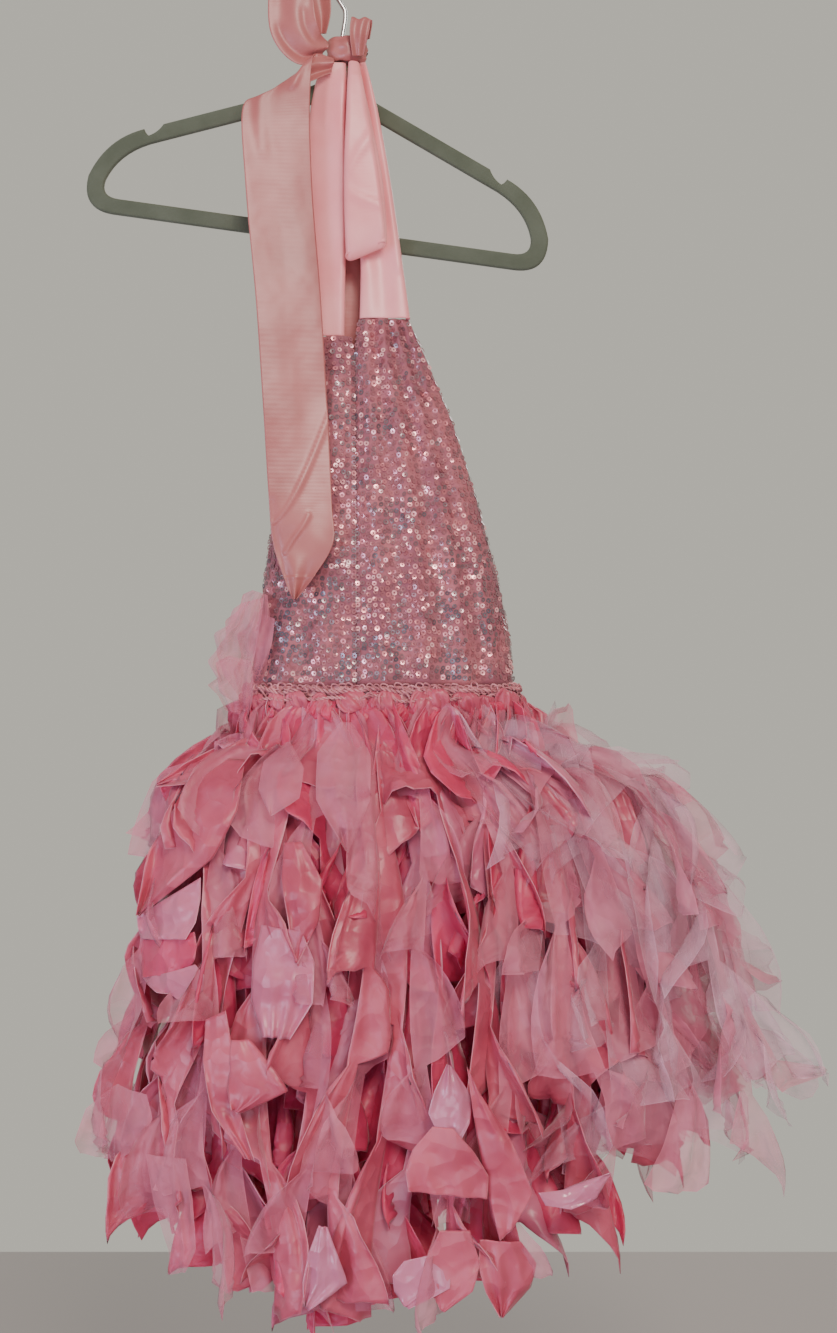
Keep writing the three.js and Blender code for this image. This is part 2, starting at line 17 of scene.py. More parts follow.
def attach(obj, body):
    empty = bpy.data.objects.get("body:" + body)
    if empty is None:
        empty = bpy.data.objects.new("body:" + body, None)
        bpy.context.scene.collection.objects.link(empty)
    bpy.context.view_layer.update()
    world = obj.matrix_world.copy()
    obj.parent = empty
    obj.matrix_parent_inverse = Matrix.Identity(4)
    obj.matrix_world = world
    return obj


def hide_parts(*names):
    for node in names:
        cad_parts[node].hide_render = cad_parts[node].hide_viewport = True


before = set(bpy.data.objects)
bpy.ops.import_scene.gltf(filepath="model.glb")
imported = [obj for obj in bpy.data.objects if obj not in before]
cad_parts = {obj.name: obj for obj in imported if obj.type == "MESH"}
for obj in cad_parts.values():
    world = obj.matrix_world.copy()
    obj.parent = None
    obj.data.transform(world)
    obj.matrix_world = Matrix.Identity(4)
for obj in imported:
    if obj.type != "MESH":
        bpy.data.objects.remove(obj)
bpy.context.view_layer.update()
TAU = 2 * math.pi
MM = 0.001

# %% [markdown]
# ## Camera, light and floor
#
# The camera looks level at the costume from 1.6 m, which keeps the flare of the skirt true. Satin
# and sequins need something to mirror: a warm lamp high at the right, a cool window low at the left
# and a weak fill between them. A small accent lights the straps, and one light behind keeps the
# organza sheer. A plain floor ends a little way behind the costume.

# %% Camera
VIEW_DISTANCE = 1.6
VIEW_MIDDLE = Vector((0.050, 0.0, -0.542))
FRAME_HEIGHT = 1.0197
SENSOR = 36.0


def linked(name, data):
    """A new object of the scene."""
    thing = bpy.data.objects.new(name, data)
    bpy.context.scene.collection.objects.link(thing)
    return thing


camera_data = bpy.data.cameras.new("camera")
camera_data.sensor_width = SENSOR
camera_data.lens = SENSOR * VIEW_DISTANCE / FRAME_HEIGHT
camera = linked("camera", camera_data)
camera.location = VIEW_MIDDLE + Vector((0, -VIEW_DISTANCE, 0))
camera.rotation_euler = (math.pi / 2, 0, 0)
bpy.context.scene.camera = camera
print("camera lens", round(camera_data.lens, 1), "mm")


# %% Colours and nodes
def linear(hex_colour):
    """An sRGB colour such as "#c98a8c" as the linear colour that a shader reads."""
    channels = [int(hex_colour[i:i + 2], 16) / 255 for i in (1, 3, 5)]
    return (*[c / 12.92 if c <= 0.04045 else ((c + 0.055) / 1.055) ** 2.4 for c in channels], 1.0)


def add_node(tree, kind, settings=None, links=None, **values):
    """A node with its settings, the values on its sockets and the links into them."""
    node = tree.nodes.new(kind)
    for key, value in (settings or {}).items():
        setattr(node, key, value)
    for socket, value in values.items():
        node.inputs[socket.replace("_", " ")].default_value = value
    for socket, source in (links or {}).items():
        tree.links.new(source, node.inputs[socket])
    return node


# %% Light and floor
FLOOR_HEIGHT = -1.25
FLOOR_BACK_EDGE = 0.93


def soft_light(name, place, aim, size, watts, colour):
    data = bpy.data.lights.new(name, "AREA")
    data.shape = "RECTANGLE"
    data.size, data.size_y = size
    data.energy = watts
    data.color = linear(colour)[:3]
    lamp = linked(name, data)
    lamp.location = place
    lamp.rotation_euler = (Vector(aim) - Vector(place)).to_track_quat("-Z", "Y").to_euler()


soft_light("lamp", (0.6, -2.5, 0.9), (0.0, 0, -0.5), (0.8, 0.8), 46, "#fff0e2")
soft_light("window", (-1.7, -1.5, -0.9), (0, 0, -0.8), (0.7, 1.0), 26, "#dcdcff")
soft_light("fill", (0.1, -2.7, -0.9), (0.05, 0, -0.6), (1.6, 0.8), 15, "#ece6ff")
soft_light("accent", (0.35, -1.0, 0.0), (-0.03, 0, -0.16), (0.12, 0.12), 1.6, "#ffe9e2")
soft_light("behind", (0.5, 2.2, 0.4), (0, 0, -0.5), (1.6, 1.2), 16, "#ffffff")

world = bpy.data.worlds.new("pale room")
world.use_nodes = True
background = world.node_tree.nodes["Background"].inputs
background["Color"].default_value = linear("#b9b6ac")
background["Strength"].default_value = 1.12
bpy.context.scene.world = world

floor_mesh = bpy.data.meshes.new("floor")
floor_mesh.from_pydata([(-6, -6, FLOOR_HEIGHT), (6, -6, FLOOR_HEIGHT), (6, FLOOR_BACK_EDGE, FLOOR_HEIGHT),
                        (-6, FLOOR_BACK_EDGE, FLOOR_HEIGHT)], [], [(0, 1, 2, 3)])
floor = linked("floor", floor_mesh)
floor_paint = bpy.data.materials.new("matt floor paint")
floor_paint.use_nodes = True
paint = floor_paint.node_tree.nodes["Principled BSDF"].inputs
paint["Base Color"].default_value = linear("#a8a2a0")
paint["Roughness"].default_value = 0.8
floor_mesh.materials.append(floor_paint)
print("one floor and five soft lights")

# %% [markdown]
# ## The finishes
#
# Satin is a weave whose long floats run one way, so it shines in streaks: a low roughness drawn out
# by anisotropy, with a fine rib across. Organza is a sheer plain weave of twisted thread, so most of
# the light goes through it. Flock is short upright fibre, which is all sheen and no gloss. A sequin
# is a vacuum-metallised plastic disc, and chrome plate is nearly a mirror.


# %% Textures that the finishes share
def new_material(name, colours=None, **values):
    """A material with these values on its shader, and what its textures need: the tree, the shader's
    sockets and the coordinates. `colours` are two tones of the cloth and the size of their clouds."""
    material = bpy.data.materials.new(name)
    material.use_nodes = True
    tree = material.node_tree
    tree.nodes.clear()
    shader = add_node(tree, "ShaderNodeBsdfPrincipled", **values)
    add_node(tree, "ShaderNodeOutputMaterial", links={"Surface": shader.outputs["BSDF"]})
    place = add_node(tree, "ShaderNodeTexCoord").outputs
    if colours:
        tree.links.new(mottled(tree, *colours, place["Object"]), shader.inputs["Base Color"])
    return material, tree, shader.inputs, place


def mottled(tree, light, dark, size_mm, where):
    """Two colours of one cloth in soft clouds of the given size."""
    ramp = add_node(tree, "ShaderNodeValToRGB", links={"Fac": noise_value(tree, where, 1000 / size_mm, 3.0)})
    for stop, position, colour in zip(ramp.color_ramp.elements, (0.35, 0.65), (dark, light)):
        stop.position, stop.color = position, linear(colour)
    return ramp.outputs["Color"]


def noise_value(tree, where, scale, detail):
    noisy = add_node(tree, "ShaderNodeTexNoise", links={"Vector": where}, Scale=scale, Detail=detail)
    return noisy.outputs["Fac"]


def bump(tree, height, depth_mm, strength=1.0, under=None):
    """The normal of a surface with this height, laid over the bump `under` it."""
    links = {"Height": height}
    if under is not None:
        links["Normal"] = under
    raised = add_node(tree, "ShaderNodeBump", links=links, Distance=depth_mm * MM, Strength=strength)
    return raised.outputs["Normal"]


def crumpled(tree, where, facet_mm, depth_mm):
    """Facets with sharp creases between them, as in thin cloth that was packed tight."""
    drift = add_node(tree, "ShaderNodeTexNoise", links={"Vector": where}, Scale=700 / facet_mm, Detail=1.0)
    shift = add_node(tree, "ShaderNodeVectorMath", {"operation": "SCALE"},
                     {"Vector": drift.outputs["Color"]}, Scale=facet_mm * MM)
    bent = add_node(tree, "ShaderNodeVectorMath", {"operation": "ADD"},
                    {"Vector": where, "Vector_001": shift.outputs["Vector"]})
    facets = add_node(tree, "ShaderNodeTexVoronoi", links={"Vector": bent.outputs["Vector"]},
                      Scale=1000 / facet_mm)
    broad = bump(tree, facets.outputs["Distance"], depth_mm)
    return bump(tree, noise_value(tree, where, 160.0, 2.0), 0.22, under=broad)


RIM_SHARPNESS = 7.0


def on_rim(tree, most):
    """A value that rises from 0 to `most` at the cut edge, within a millimetre or so."""
    rim = add_node(tree, "ShaderNodeAttribute", {"attribute_name": "rim"})
    close = add_node(tree, "ShaderNodeMath", {"operation": "POWER"}, {"Value": rim.outputs["Fac"]})
    close.inputs[1].default_value = RIM_SHARPNESS
    return add_node(tree, "ShaderNodeMapRange", links={"Value": close.outputs["Value"]},
                    To_Max=most).outputs["Result"]


# %% Satin, organza and ribbon
def satin(name, light, dark, edge, roughness, glow):
    """Polyester satin, glossy along its floats and crumpled from storage; a painted highlight lightens its
    cut edge.
    """
    # Light that enters one face of thin cloth leaves through the other, so it scatters inside.
    material, tree, shader, place = new_material(
        name, Roughness=roughness, Anisotropic=0.5, Specular_IOR_Level=0.5, Sheen_Weight=0.25,
        Sheen_Roughness=0.35, Sheen_Tint=linear("#ffd9e4"), Subsurface_Weight=glow,
        Subsurface_Radius=(1.0, 0.4, 0.5), Subsurface_Scale=3 * MM)
    # The paler edge colour at the rim is a painted highlight along the cut edge.
    painted_rim_highlight = add_node(tree, "ShaderNodeMix", {"data_type": "RGBA"})
    tree.links.new(on_rim(tree, 0.5), painted_rim_highlight.inputs[0])
    tree.links.new(mottled(tree, light, dark, 45, place["Object"]), painted_rim_highlight.inputs[6])
    painted_rim_highlight.inputs[7].default_value = linear(edge)
    tree.links.new(painted_rim_highlight.outputs[2], shader["Base Color"])
    tree.links.new(crumpled(tree, place["Object"], 17, 2.6), shader["Normal"])
    return material


def organza(name, light, dark, alpha):
    """Sheer plain-weave organza, crisp and slightly lustrous."""
    material, tree, shader, place = new_material(
        name, (light, dark, 60), Roughness=0.5, Sheen_Weight=0.5, Sheen_Tint=linear("#f6d8e2"))
    tree.links.new(crumpled(tree, place["Object"], 13, 2.2), shader["Normal"])
    # Where the cloth is creased together it covers more.
    creased = noise_value(tree, place["Object"], 28.0, 1.0)
    cover = add_node(tree, "ShaderNodeMapRange", links={"Value": creased},
                     From_Min=0.3, From_Max=0.7, To_Min=0.8 * alpha, To_Max=1.3 * alpha)
    # The cut edge covers more as well, which draws a painted highlight along it.
    painted_rim_highlight = add_node(tree, "ShaderNodeMath", {"operation": "ADD"},
                     {"Value": cover.outputs["Result"], "Value_001": on_rim(tree, 0.25)})
    tree.links.new(painted_rim_highlight.outputs["Value"], shader["Alpha"])
    return material


def ribbon_satin(name, light, dark):
    """Double-faced satin ribbon with a fine rib across it."""
    material, tree, shader, place = new_material(
        name, (light, dark, 50), Roughness=0.36, Anisotropic=0.4, Specular_IOR_Level=0.55,
        Sheen_Weight=0.12, Sheen_Tint=linear("#ffd8d6"))
    # The real weft is 0.1 mm apart; 1 mm is the finest rib that shows at this distance.
    rib_pitch_mm = 1.0
    rib = add_node(tree, "ShaderNodeTexWave", {"bands_direction": "Y"}, {"Vector": place["UV"]},
                   Scale=1000 / rib_pitch_mm / TAU, Distortion=0.3)
    weave = bump(tree, rib.outputs["Color"], 0.03, 0.5)
    tree.links.new(bump(tree, noise_value(tree, place["Object"], 30.0, 2.0), 1.2, under=weave),
                   shader["Normal"])
    return material


# %% Sequins, tulle, fibre and chrome
def sequin_film():
    """Metallised plastic film; each disc's painted reflection, dull grey to a pale glint, is an attribute its
    seat gives it.
    """
    material, tree, shader, _ = new_material(
        "metallised rose sequins", Metallic=0.35, Roughness=0.25, Coat_Weight=0.4, Coat_Roughness=0.08)
    reflection_tone = add_node(tree, "ShaderNodeAttribute", {"attribute_name": "reflection_tone"})
    ramp = add_node(tree, "ShaderNodeValToRGB", links={"Fac": reflection_tone.outputs["Fac"]})
    # The ramp paints the reflection: dull grey where a disc mirrors the dim room, rose between, and a pale
    # painted glint at the top.
    stops = ramp.color_ramp.elements
    stops[0].position, stops[0].color = 0.0, linear("#5f5b68")
    stops[1].position, stops[1].color = 1.0, linear("#ffc0c4")
    for position, colour in ((0.25, "#80686e"), (0.45, "#a46872"), (0.7, "#c0717a"), (0.88, "#ef8f98")):
        stops.new(position).color = linear(colour)
    tree.links.new(ramp.outputs["Color"], shader["Base Color"])
    return material


def tulle_backing():
    """Pink stretch tulle over its backing cloth, seen between the sequins."""
    material, tree, shader, place = new_material(
        "pink stretch tulle", ("#b56872", "#904f5e", 26), Roughness=0.7, Sheen_Weight=0.3)
    # Tulle cells are about 1 mm across.
    cells = add_node(tree, "ShaderNodeTexVoronoi", {"feature": "DISTANCE_TO_EDGE"},
                     {"Vector": place["Object"]}, Scale=900.0)
    tree.links.new(bump(tree, cells.outputs["Distance"], 0.25, 0.7), shader["Normal"])
    return material


def fibrous(name, colours, fibre_scale, strength, **values):
    """A surface of loose fibres that stand up by 0.4 mm."""
    material, tree, shader, place = new_material(name, colours, **values)
    fibres = noise_value(tree, place["Object"], fibre_scale, 1.0)
    tree.links.new(bump(tree, fibres, 0.4, strength), shader["Normal"])
    return material


def chrome_plate():
    """Bright chrome on steel wire, with the faint draw lines of the wire under it."""
    material, tree, shader, place = new_material(
        "chrome-plated steel wire", Base_Color=linear("#c9ccd0"), Metallic=1.0)
    lines = noise_value(tree, place["Object"], 260.0, 2.0)
    wear = add_node(tree, "ShaderNodeMapRange", links={"Value": lines}, To_Min=0.06, To_Max=0.16)
    tree.links.new(wear.outputs["Result"], shader["Roughness"])
    return material


# %% The finishes of this costume
# The skirt's satin comes in copies of one cloth: the deep copy, darker and redder, is painted shade for the
# inner and middle rows and the lower knots; the pale copy and the glossier lilac-pink copy are lighter,
# painted highlight. The edge colours paint a highlight along each cut edge.
SATIN_FRONT = satin("pink satin strips", "#cb5f75", "#b1465e", "#e3a0ad", 0.38, 0.35)
SATIN_PAINTED_SHADE = satin("deep pink satin strips", "#d6466b", "#be3357", "#dd7f95", 0.43, 0.6)
SATIN_PAINTED_LIGHT = satin("pale pink satin strips", "#d1758f", "#be607c", "#e8adbc", 0.33, 0.35)
SATIN_PAINTED_GLEAM = satin("lilac-pink satin face", "#d07f9b", "#b66582", "#e6b0c3", 0.17, 0.3)
ORGANZA = organza("mauve-pink organza", "#df8399", "#ce6b87", 0.45)
ORGANZA_CLOUD = organza("thin mauve-pink organza", "#ecb6ca", "#dfa3bb", 0.28)
# One ribbon in two copies: the tails, the knot, the upper and the small loop take a darker, greyer copy,
# which is painted shade; the straps and the hanging loop take a lighter copy, which is painted light.
RIBBON_PAINTED_SHADE = ribbon_satin("double-faced satin ribbon", "#b66b6a", "#a55b5b")
RIBBON_PAINTED_LIGHT = ribbon_satin("satin ribbon, lit face", "#f8a6ab", "#f09399")
SEQUINS = sequin_film()
TULLE = tulle_backing()
CHROME = chrome_plate()
# Flock is upright nylon fibre on moulded plastic; crochet yarn has a soft bloom of loose fibre.
FLOCK = fibrous("sage flock on moulded plastic", ("#5c6356", "#545b4e", 22), 1400.0, 0.6, Roughness=0.95,
                Specular_IOR_Level=0.1, Sheen_Weight=0.3, Sheen_Roughness=0.5, Sheen_Tint=linear("#c9cec0"))
YARN = fibrous("crocheted elastic yarn", ("#e0909a", "#a5525f", 6), 900.0, 0.7, Roughness=0.5,
               Sheen_Weight=0.4)
print(len(bpy.data.materials), "materials")

# %% [markdown]
# ## From points to cloth
#
# Every piece of cloth here is first a grid of points, row by row down its length. A grid keeps the
# warp and weft direction, so its UV map is the flat cut in metres and the weave can follow it. The
# Solidify modifier then gives the sheet its real thickness.


# %% Curves and grids
def through(rows, share):
    """The values at a share of the way along a smooth curve through rows of numbers."""
    place = min(max(share, 0.0), 1.0) * (len(rows) - 1)
    k = min(int(place), len(rows) - 2)
    f = place - k
    before, a, b, after = rows[max(k - 1, 0)], rows[k], rows[k + 1], rows[min(k + 2, len(rows) - 1)]
    return [0.5 * (2 * q + (r - p) * f + (2 * p - 5 * q + 4 * r - s) * f ** 2
                   + (3 * q - p - 3 * r + s) * f ** 3)
            for p, q, r, s in zip(before, a, b, after)]


def row_at(table, z):
    """Every column of a table of heights, the first column, at height z."""
    if z >= table[0][0]:
        return table[0]
    for upper, lower in zip(table, table[1:]):
        if z >= lower[0]:
            share = (upper[0] - z) / (upper[0] - lower[0])
            return [a + (b - a) * share for a, b in zip(upper, lower)]
    return table[-1]


def smooth(value, low=0.0, high=1.0):
    share = min(max((value - low) / (high - low), 0.0), 1.0)
    return share * share * (3 - 2 * share)


def mix(a, b, share):
    return a + (b - a) * share


# %% A sheet from its grid
def shade_smooth(mesh):
    mesh.polygons.foreach_set("use_smooth", [True] * len(mesh.polygons))


class Cloth:
    """Grids of points in millimetres that become one mesh: a UV map in metres, and 1 on the cut edges."""

    def __init__(self):
        self.points, self.faces, self.uvs, self.rims = [], [], [], []

    def add(self, grid, width, length):
        start = len(self.points)
        rows, columns = len(grid), len(grid[0])
        self.points += [p * MM for row in grid for p in row]
        self.rims += [1.0 if j in (0, columns - 1) or i == rows - 1 else 0.0
                      for i in range(rows) for j in range(columns)]
        for i in range(rows - 1):
            for j in range(columns - 1):
                upper = start + i * columns + j
                lower = upper + columns
                self.faces.append((upper, lower, lower + 1, upper + 1))
                for down, over in ((i, j), (i + 1, j), (i + 1, j + 1), (i, j + 1)):
                    self.uvs.append((over / (columns - 1) * width * MM, down / (rows - 1) * length * MM))

    def make(self, name, material, thickness=0.0):
        mesh = bpy.data.meshes.new(name)
        mesh.from_pydata(self.points, [], self.faces)
        layer = mesh.uv_layers.new(name="cut")
        for loop, uv in zip(layer.data, self.uvs):
            loop.uv = uv
        rim = mesh.attributes.new("rim", "FLOAT", "POINT")
        rim.data.foreach_set("value", self.rims)
        shade_smooth(mesh)
        mesh.materials.append(material)
        piece = linked(name, mesh)
        if thickness:
            shell = piece.modifiers.new("thickness", "SOLIDIFY")
            shell.thickness = thickness * MM
            shell.offset = 0.0
        return piece


def one_sheet(name, grid, width, length, material, thickness=0.0):
    """A piece of cloth from one grid, with the size of its flat cut in millimetres."""
    cloth = Cloth()
    cloth.add(grid, width, length)
    return cloth.make(name, material, thickness)


def grid_area(grid):
    """Area of a grid of points, in square millimetres."""
    total = 0.0
    for upper, lower in zip(grid, grid[1:]):
        for a, b, c, d in zip(upper, upper[1:], lower, lower[1:]):
            total += ((b - a).cross(c - a)).length / 2 + ((b - d).cross(c - d)).length / 2
    return total


# %% Modifiers into plain meshes
def plain_mesh(piece):
    """The piece with its modifiers applied, its geometry nodes among them."""
    graph = bpy.context.evaluated_depsgraph_get()
    done = bpy.data.meshes.new_from_object(piece.evaluated_get(graph), depsgraph=graph)
    piece.modifiers.clear()
    old = piece.data
    piece.data = done
    bpy.data.meshes.remove(old)


def weld(piece):
    """Join the points that lie on each other."""
    joined = piece.modifiers.new("weld", "WELD")
    joined.merge_threshold = 0.01 * MM
    plain_mesh(piece)


# %% [markdown]
# ## Many small things on seats
#
# A sequin, a crochet stitch and a knot are each made once and then set on many seats. A
# geometry-nodes tree does this: it reads from each seat which way it faces and which way it runs,
# leans the thing a little at random, and joins the copies into one mesh.


# %% The scattering tree
def seating_tree():
    tree = bpy.data.node_groups.new("set on seats", "GeometryNodeTree")
    tree.interface.new_socket("Geometry", in_out="OUTPUT", socket_type="NodeSocketGeometry")
    for name, kind in (("Seats", "Geometry"), ("Thing", "Object"), ("Lean", "Float"), ("Turn", "Float"),
                       ("Smallest", "Float"), ("Material", "Material")):
        tree.interface.new_socket(name, in_out="INPUT", socket_type="NodeSocket" + kind)
    given = add_node(tree, "NodeGroupInput").outputs
    out = add_node(tree, "NodeGroupOutput")
    thing = add_node(tree, "GeometryNodeObjectInfo", links={"Object": given["Thing"]})
    lie = add_node(tree, "GeometryNodeInputNamedAttribute", {"data_type": "FLOAT_VECTOR"}, Name="lie")
    run = add_node(tree, "GeometryNodeInputNamedAttribute", {"data_type": "FLOAT_VECTOR"}, Name="run")
    facing = add_node(tree, "FunctionNodeAlignRotationToVector", {"axis": "Z"},
                      {"Vector": lie.outputs["Attribute"]})
    running = add_node(tree, "FunctionNodeAlignRotationToVector", {"axis": "X", "pivot_axis": "Z"},
                       {"Rotation": facing.outputs["Rotation"], "Vector": run.outputs["Attribute"]})
    most = add_node(tree, "ShaderNodeCombineXYZ",
                    links={"X": given["Lean"], "Y": given["Lean"], "Z": given["Turn"]})
    least = add_node(tree, "ShaderNodeVectorMath", {"operation": "SCALE"},
                     {"Vector": most.outputs["Vector"]}, Scale=-1.0)
    lean = add_node(tree, "FunctionNodeRandomValue", {"data_type": "FLOAT_VECTOR"},
                    {"Min": least.outputs["Vector"], "Max": most.outputs["Vector"]}, Seed=11)
    turned = add_node(tree, "FunctionNodeEulerToRotation", links={"Euler": lean.outputs["Value"]})
    posed = add_node(tree, "FunctionNodeRotateRotation", {"rotation_space": "LOCAL"},
                     {"Rotation": running.outputs["Rotation"], "Rotate By": turned.outputs["Rotation"]})
    size = add_node(tree, "FunctionNodeRandomValue", {"data_type": "FLOAT"}, Seed=5)
    tree.links.new(given["Smallest"], size.inputs[2])
    size.inputs[3].default_value = 1.0
    copies = add_node(tree, "GeometryNodeInstanceOnPoints",
                      links={"Points": given["Seats"], "Instance": thing.outputs["Geometry"],
                             "Rotation": posed.outputs["Rotation"], "Scale": size.outputs[1]})
    real = add_node(tree, "GeometryNodeRealizeInstances", links={"Geometry": copies.outputs["Instances"]})
    dressed = add_node(tree, "GeometryNodeSetMaterial", links={"Geometry": real.outputs["Geometry"],
                                                               "Material": given["Material"]})
    tree.links.new(dressed.outputs["Geometry"], out.inputs["Geometry"])
    return tree


SEATING = seating_tree()


# %% Copies on their seats
def set_on_seats(name, seats, thing, material, lean, turn, smallest):
    """One mesh of `thing` on each seat: (place, lie, run, tone) with the place in millimetres."""
    mesh = bpy.data.meshes.new(name)
    mesh.from_pydata([seat[0] * MM for seat in seats], [], [])
    for key, column in (("lie", 1), ("run", 2)):
        layer = mesh.attributes.new(key, "FLOAT_VECTOR", "POINT")
        layer.data.foreach_set("vector", [c for seat in seats for c in seat[column]])
    tones = mesh.attributes.new("reflection_tone", "FLOAT", "POINT")
    tones.data.foreach_set("value", [seat[3] for seat in seats])
    piece = linked(name, mesh)
    modifier = piece.modifiers.new("seats", "NODES")
    modifier.node_group = SEATING
    chosen = {"Thing": thing, "Lean": lean, "Turn": turn, "Smallest": smallest, "Material": material}
    for socket in SEATING.interface.items_tree:
        if socket.in_out == "INPUT" and socket.name in chosen:
            modifier[socket.identifier] = chosen[socket.name]
    plain_mesh(piece)
    bpy.data.objects.remove(thing)
    shade_smooth(piece.data)
    print(name, len(seats), "seats,", len(piece.data.polygons), "faces")
    return piece


def template(name, points, faces):
    mesh = bpy.data.meshes.new(name)
    mesh.from_pydata([Vector(p) * MM for p in points], [], faces)
    return linked(name, mesh)


def ring_faces(rings, corners, closed=False):
    """Quads between rings of points that follow each other; `closed` joins the last to the first."""
    faces = []
    for k in range(rings if closed else rings - 1):
        for c in range(corners):
            a, b = k * corners, (k + 1) % rings * corners
            faces.append((a + c, a + (c + 1) % corners, b + (c + 1) % corners, b + c))
    return faces


def finish(piece, slot, *nodes):
    """Tie a finished piece to the one body and hide the solids that it replaces; `slot` is not used."""
    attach(piece, "root")
    if nodes:
        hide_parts(*nodes)


# %% [markdown]
# ## The hanger
#
# A child's flocked hanger is moulded in one piece, about 6 mm thick with rounded edges, and hangs
# tilted because the costume pulls to one side. A filled 2-D curve with a hole in it gives the plate
# and its rounded edge at once, which is simpler than cutting a mesh. The wire hook is a curve with
# a round bevel.

# %% The hanger's plate
TILT = math.radians(7.9)
HALF_WIDTH = 177.5
PLATE_THICKNESS = 6.0
PLATE_ROUNDING = 1.9
NECK_HALF, NECK_TOP, NECK_FOOT = 9.0, -83.0, -92.0
ARM_START = (16.0, -101.0)
ARM_SLOPE = math.tan(math.radians(22.3))
BAR = 12.0
PLATE_BOTTOM = -219.6
NOTCH_START, NOTCH_END, NOTCH_DEPTH = 126.0, 140.0, 6.5
hanging = Matrix.Rotation(TILT, 4, "Y")


def arm_height(x, below=0.0):
    return ARM_START[1] - (x - ARM_START[0]) * ARM_SLOPE - below


def bend(start, corner, end, steps):
    """A quadratic curve that leaves `start` towards `corner` and comes to `end`, without `start`."""
    curve = []
    for k in range(1, steps + 1):
        t = k / steps
        curve.append([(1 - t) ** 2 * a + 2 * t * (1 - t) * b + t * t * c
                      for a, b, c in zip(start, corner, end)])
    return curve


def plate_outline():
    notch = [(NOTCH_START, arm_height(NOTCH_START)), (NOTCH_START + 3, arm_height(NOTCH_START, NOTCH_DEPTH)),
             (NOTCH_END - 4, arm_height(NOTCH_END, NOTCH_DEPTH - 2)), (NOTCH_END, arm_height(NOTCH_END))]
    half = [(NECK_HALF, NECK_TOP)]
    half += bend((NECK_HALF, NECK_FOOT), (NECK_HALF + 1, ARM_START[1] + 2),
                 (ARM_START[0] + 8, arm_height(ARM_START[0] + 8)), 8)
    half += notch[:1] + bend(*notch[:3], 6) + bend(notch[2], (138.5, -155), notch[3], 4)
    half += bend(notch[3], (168, -163), (HALF_WIDTH, -193), 12)
    half += bend((HALF_WIDTH, -193), (HALF_WIDTH + 3, PLATE_BOTTOM), (154, PLATE_BOTTOM), 12)
    return half + [(-x, z) for x, z in reversed(half)]


def plate_opening():
    inside = BAR / math.cos(math.atan(ARM_SLOPE))
    half = [(6, arm_height(15, inside)), (24, arm_height(24, inside)), (134, arm_height(134, inside))]
    half += bend(half[-1], (157, -173), (164, -194), 8)
    half += bend((164, -194), (167, PLATE_BOTTOM + BAR), (152, PLATE_BOTTOM + BAR), 8)
    return half + [(-x, z) for x, z in reversed(half)]


# %% A mesh from a curve
def from_curve(name, data, material, turn):
    """A curve as a closed mesh with its place in its points."""
    holder = linked(name + " curve", data)
    graph = bpy.context.evaluated_depsgraph_get()
    mesh = bpy.data.meshes.new_from_object(holder.evaluated_get(graph), depsgraph=graph)
    bpy.data.objects.remove(holder)
    mesh.transform(turn)
    mesh.materials.clear()
    mesh.materials.append(material)
    piece = linked(name, mesh)
    weld(piece)
    shade_smooth(piece.data)
    return piece


plate = bpy.data.curves.new("plate", "CURVE")
plate.dimensions = "2D"
plate.fill_mode = "BOTH"
plate.extrude = (PLATE_THICKNESS / 2 - PLATE_ROUNDING) * MM
plate.bevel_depth = PLATE_ROUNDING * MM
plate.bevel_resolution = 3
plate.offset = -PLATE_ROUNDING * MM
for outline in (plate_outline(), plate_opening()):
    spline = plate.splines.new("POLY")
    spline.points.add(len(outline) - 1)
    for point, (x, z) in zip(spline.points, outline):
        point.co = (x * MM, z * MM, 0, 1)
    spline.use_cyclic_u = True
hanger = from_curve("hanger_flocked", plate, FLOCK, hanging @ Matrix.Rotation(math.pi / 2, 4, "X"))
finish(hanger, "flocked_plastic", "hanger_body")
print("hanger plate", len(hanger.data.polygons), "faces")

# %% The wire hook
WIRE = 1.75
HOOK_INSIDE = 17.0
STEM_FOOT, STEM_TOP = -82.6, -44.0
hook_middle = (HOOK_INSIDE * math.sin(TILT), -HOOK_INSIDE * math.cos(TILT))
arc = [math.radians(205 - 210 * k / 9) for k in range(10)]
hook_path = [(0, STEM_FOOT), (0, (STEM_FOOT + STEM_TOP) / 2), (0, STEM_TOP), (-4.5, STEM_TOP + 8)]
hook_path += [(hook_middle[0] + (HOOK_INSIDE + WIRE) * math.cos(a),
               hook_middle[1] + (HOOK_INSIDE + WIRE) * math.sin(a)) for a in arc]
HOOK_STEPS = 120
wire = bpy.data.curves.new("wire", "CURVE")
wire.dimensions = "3D"
wire.bevel_depth = WIRE * MM
wire.bevel_resolution = 4
wire.use_fill_caps = True
spline = wire.splines.new("POLY")
spline.points.add(HOOK_STEPS)
for k, point in enumerate(spline.points):
    x, z = through(hook_path, k / HOOK_STEPS)
    point.co = (x * MM, 0, z * MM, 1)
    point.radius = min(1.0, 0.55 + 0.3 * (HOOK_STEPS - k))
hook = from_curve("hook_wire", wire, CHROME, hanging)
finish(hook, "hook_chrome", "hanger_hook")
print("hook", len(hook.data.polygons), "faces")

# %% [markdown]
# ## The ribbons
#
# Both straps are 50 mm satin ribbon. They are sewn to the top of the bodice, gathered into the knot
# round the hook's stem, and end in a bow: one loop up, one loop hanging, a long pointed tail in
# front and another behind. Each stretch is a row of stations (middle, width and the direction of
# its width) with a smooth curve through them. Pleats keep the ribbon's real width where it is
# pinched, and troughs put the creases where a tied ribbon has them.

# %% A ribbon from its stations
RIBBON_WIDTH = 50.0
RIBBON_WALL = 0.5


